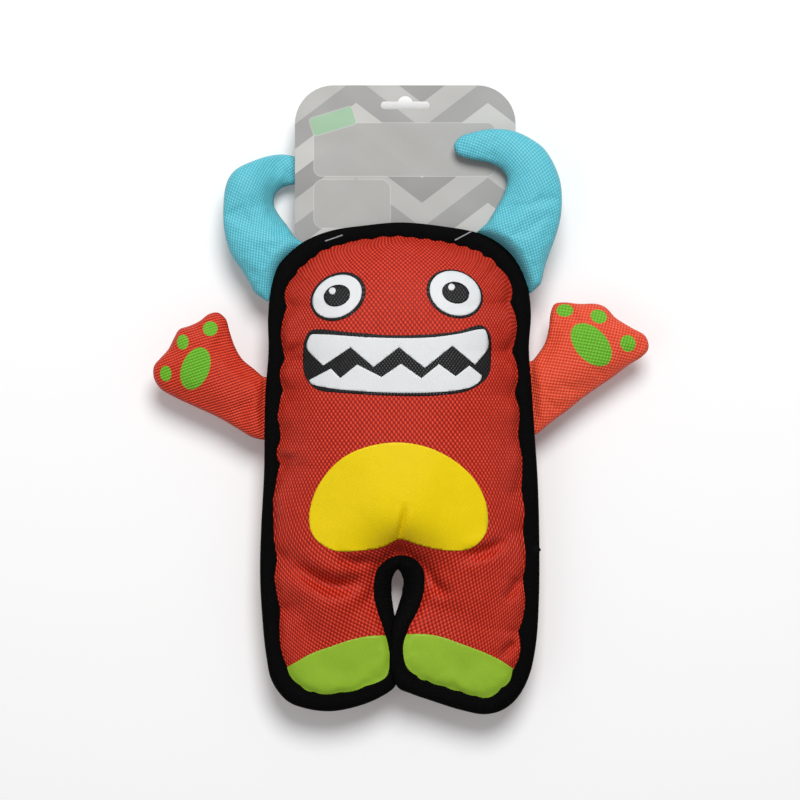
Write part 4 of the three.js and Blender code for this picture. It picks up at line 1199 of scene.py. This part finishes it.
def tapeStitches():
    shape = bmesh.new()
    line = evenLine(foldLine + inward * (innerEdge - tape["stitchInset"])[:, None], tape["stitchPitch"])
    size = Matrix.Diagonal((tape["stitchLength"] / 2, tape["stitchWidth"] / 2, tape["stitchWidth"] / 2, 1))
    for side in (1, -1):
        spots = onTape(line, side * (outer + tape["crown"] * tape["stitchLift"]))
        ahead = np.roll(spots, -1, 0) - np.roll(spots, 1, 0)
        for spot, way in zip(spots, ahead):
            turn = Vector(way).to_track_quat("X", "Z").to_matrix().to_4x4()
            placing = Matrix.Translation(spot) @ turn @ size
            bmesh.ops.create_uvsphere(shape, u_segments=6, v_segments=4, radius=1, matrix=placing)
    return finished("tape_stitches", shape)


def tapeLap():
    # the tape's end folded over its start, on the right side of the body
    shape = bmesh.new()
    placing = Matrix.Translation((*photoPoint(*tape["lapPixel"]), seamLevel))
    placing = placing @ Matrix.Rotation(tape["lapTurn"], 4, "Z") @ Matrix.Diagonal((*tape["lapSize"], 1))
    bmesh.ops.create_cube(shape, size=1, matrix=placing)
    bmesh.ops.bevel(
        shape, geom=shape.edges[:], offset=tape["lapRound"], offset_type="OFFSET", segments=3, profile=0.5,
        affect="EDGES", material=-1
    )
    shape.loops.layers.uv.new("weave")
    return finished("tape_lap", shape)


def threadMaterial():
    material, tree, shader = newMaterial("black sewing thread", Roughness=0.9, Specular_IOR_Level=0.06)
    twist = put(tree, "TexWave", {"Vector": placeOn(tree), "Scale": 900.0, "Distortion": 1.5}).outputs[0]
    paint(tree, shader, mixTones(tree, twist, tone(2, 2, 2), tone(13, 13, 14)), twist, 0.00005)
    return material


dress(tapeStitches(), threadMaterial(), "black_tape")
dress(tapeLap(), blackTape, "black_tape")
print("edge tape sewn on")

# Header card's plain print

card = {
    "chevronPixel": (422, 202),  # the point of one chevron
    "chevronPitch": 0.086,
    "chevronSlope": 0.76,
    "bandHeight": 0.0163,
    "tones": [(146, 145, 143), (193, 192, 188), (155, 154, 152), (180, 179, 176)],
    "patches": [  # middle and size in pixels, corner radius in metres, turn in degrees, tone
        {"middle": (404.5, 148.5), "size": (181, 53), "radius": 0.005, "turn": 0, "tone": (168, 167, 164)},
        {"middle": (352, 203), "size": (76, 48), "radius": 0.006, "turn": 0, "tone": (170, 169, 166)},
        {"middle": (332.6, 120), "size": (44, 18), "radius": 0.002, "turn": 17, "tone": (150, 190, 154)},
    ],
    "border": 0.0006,
    "borderTone": (200, 200, 197),
    "borderShare": 0.6,
    "patchShare": 0.93,
    "backTone": (186, 185, 182),
    "waveScale": 26.0,       # the card's own unevenness
    "waveDepth": 0.0012,
}


def roundedPatch(tree, place, patch, grow):
    half = [patch["size"][0] * pixelAcross / 2 + grow, patch["size"][1] * pixelAlong / 2 + grow]
    radius = patch["radius"] + grow
    turned = aroundPixel(tree, place, patch["middle"], patch["turn"])
    size = put(tree, "VectorMath", {0: turned}, operation="ABSOLUTE").outputs[0]
    corner = (half[0] - radius, half[1] - radius, 1)
    past = put(tree, "VectorMath", {0: size, 1: corner}, operation="SUBTRACT").outputs[0]
    out = put(tree, "VectorMath", {0: past, 1: (0, 0, 0)}, operation="MAXIMUM").outputs[0]
    reach = put(tree, "VectorMath", {0: out}, operation="LENGTH").outputs["Value"]
    return remap(tree, reach, radius + 0.0001, radius - 0.0001)


def cardMaterial():
    material, tree, shader = newMaterial(
        "printed header card", Roughness=0.34, Specular_IOR_Level=0.5, Coat_Weight=0.5, Coat_Roughness=0.12
    )
    place = placeOn(tree)
    split = put(tree, "SeparateXYZ", {0: place})
    pointX, pointY = photoPoint(*card["chevronPixel"])
    aside = calc(tree, "PINGPONG", calc(tree, "SUBTRACT", split.outputs[0], pointX), card["chevronPitch"] / 2)
    above = calc(tree, "SUBTRACT", split.outputs[1], pointY)
    fall = calc(tree, "MULTIPLY_ADD", aside, -card["chevronSlope"], above)
    band = calc(tree, "FLOOR", calc(tree, "DIVIDE", fall, card["bandHeight"]))
    band = calc(tree, "FLOORED_MODULO", band, float(len(card["tones"])))
    colour = tone(*card["tones"][0])
    for k, shade in enumerate(card["tones"][1:], start=1):
        here = calc(tree, "COMPARE", band, float(k), 0.5)
        colour = mixTones(tree, here, colour, tone(*shade))
    for patch in card["patches"]:
        layers = (
            (card["border"], card["borderShare"], card["borderTone"]),
            (0.0, card["patchShare"], patch["tone"]),
        )
        for grow, most, shade in layers:
            share = calc(tree, "MULTIPLY", roundedPatch(tree, place, patch, grow), most)
            colour = mixTones(tree, share, colour, tone(*shade))
    facing = put(tree, "SeparateXYZ", {0: put(tree, "TexCoord").outputs["Normal"]}).outputs[2]
    printed = calc(tree, "GREATER_THAN", facing, 0.5)
    colour = mixTones(tree, printed, tone(*card["backTone"]), colour)
    paint(tree, shader, colour, noiseAt(tree, place, card["waveScale"], 1.0), card["waveDepth"])
    return material


def wear(node, material):
    cadNodes[node].data.materials.clear()
    cadNodes[node].data.materials.append(material)


wear("header_card", cardMaterial())


def steelMaterial():
    material, tree, shader = newMaterial("bright staple wire", Metallic=1.0, Roughness=0.5)
    alongWire = put(tree, "Mapping", {"Vector": placeOn(tree), "Scale": (400, 2500, 2500)}).outputs[0]
    drawn = noiseAt(tree, alongWire, 1.0, 3.0)
    paint(tree, shader, mixTones(tree, drawn, tone(112, 113, 115), tone(150, 151, 153)), drawn, 0.00002)
    return material


staplesSteel = steelMaterial()
for node in ("left_staple", "right_staple", "squeaker_reed"):
    wear(node, staplesSteel)


def squeakerPlastic():
    material, tree, shader = newMaterial("milky squeaker plastic", Roughness=0.4, Subsurface_Weight=0.2)
    shader.inputs["Subsurface Radius"].default_value = (0.002, 0.002, 0.002)
    cloud = noiseAt(tree, placeOn(tree), 300.0, 3.0)
    paint(tree, shader, mixTones(tree, cloud, tone(214, 222, 226), tone(232, 236, 238)), cloud, 0.00005)
    return material


def pressedBellows():
    # a copy of the bellows, shaded sharp at its fold rings
    shape = bmesh.new()
    shape.from_mesh(cadNodes["squeaker_bellows"].data)
    bmesh.ops.remove_doubles(shape, verts=shape.verts, dist=1e-6)
    piece = finished("bellows_folds", shape)
    piece.data.set_sharp_from_angle(angle=math.radians(35))
    return piece


milky = squeakerPlastic()
for node in ("squeaker_base", "squeaker_crown", "squeaker_reed_tube", "squeaker_reed_plug"):
    wear(node, milky)
bellows = pressedBellows()
dress(bellows, milky, "squeaker_plastic", "squeaker_bellows")
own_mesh(bellows)
print("card, staples and squeaker finished")

# Table, light and camera

studio = {
    "floorSize": 3.0,
    "floorDrop": 0.0003,
    "floorTone": (246, 246, 246),
    "floorGlow": 0.08,       # only as the camera and reflections see it
    "world": 0.28,
    "horizon": 0.9,          # the same as the camera sees it
    "lamps": [
        {"name": "ceiling lamp", "place": (0.2, 1.25, 2.1), "size": 1.2, "power": 49},
        {"name": "fill", "place": (-1.1, -0.5, 1.6), "size": 1.2, "power": 3},
    ],
    "distance": 2.0,
    "frame": 800,            # pixels of the photograph, across and along
}


def makeFloor():
    shape = bmesh.new()
    bmesh.ops.create_grid(shape, x_segments=1, y_segments=1, size=studio["floorSize"] / 2)
    bmesh.ops.translate(shape, verts=shape.verts, vec=(0, 0, -studio["floorDrop"]))
    floor = finished("floor", shape)
    material, tree, shader = newMaterial("pale table", Roughness=0.9, Specular_IOR_Level=0.1)
    shader.inputs["Base Color"].default_value = tone(*studio["floorTone"])
    rays = put(tree, "LightPath")
    seen = calc(tree, "MAXIMUM", rays.outputs["Is Camera Ray"], rays.outputs["Is Glossy Ray"])
    seen = calc(tree, "MAXIMUM", seen, rays.outputs["Is Transmission Ray"])
    glow = calc(tree, "MULTIPLY", seen, studio["floorGlow"])
    tree.links.new(glow, shader.inputs["Emission Strength"])
    shader.inputs["Emission Color"].default_value = (1, 1, 1, 1)
    floor.data.materials.append(material)


def makeLights():
    world = bpy.data.worlds.new("soft room")
    bpy.context.scene.world = world
    world.use_nodes = True
    tree = world.node_tree
    tree.nodes["Background"].inputs[0].default_value = (1, 1, 1, 1)
    seen = put(tree, "LightPath").outputs["Is Camera Ray"]
    strength = calc(tree, "MULTIPLY_ADD", seen, studio["horizon"] - studio["world"], studio["world"])
    tree.links.new(strength, tree.nodes["Background"].inputs[1])
    for lamp in studio["lamps"]:
        light = bpy.data.lights.new(lamp["name"], "AREA")
        light.shape = "DISK"
        light.size = lamp["size"]
        light.energy = lamp["power"]
        holder = bpy.data.objects.new(lamp["name"], light)
        holder.location = lamp["place"]
        holder.rotation_euler = (-holder.location).to_track_quat("-Z", "Y").to_euler()
        bpy.context.scene.collection.objects.link(holder)


def makeCamera():
    view = bpy.data.cameras.new("view from above")
    middle = photoPoint(studio["frame"] / 2, studio["frame"] / 2)
    width = studio["frame"] * pixelAcross
    view.lens = view.sensor_width * studio["distance"] / width
    view.clip_end = 20
    holder = bpy.data.objects.new("view from above", view)
    holder.location = (*middle, seamLevel + studio["distance"])
    bpy.context.scene.collection.objects.link(holder)
    bpy.context.scene.camera = holder


makeFloor()
makeLights()
makeCamera()
bpy.context.scene.view_settings.view_transform = "Standard"
print("stage set")
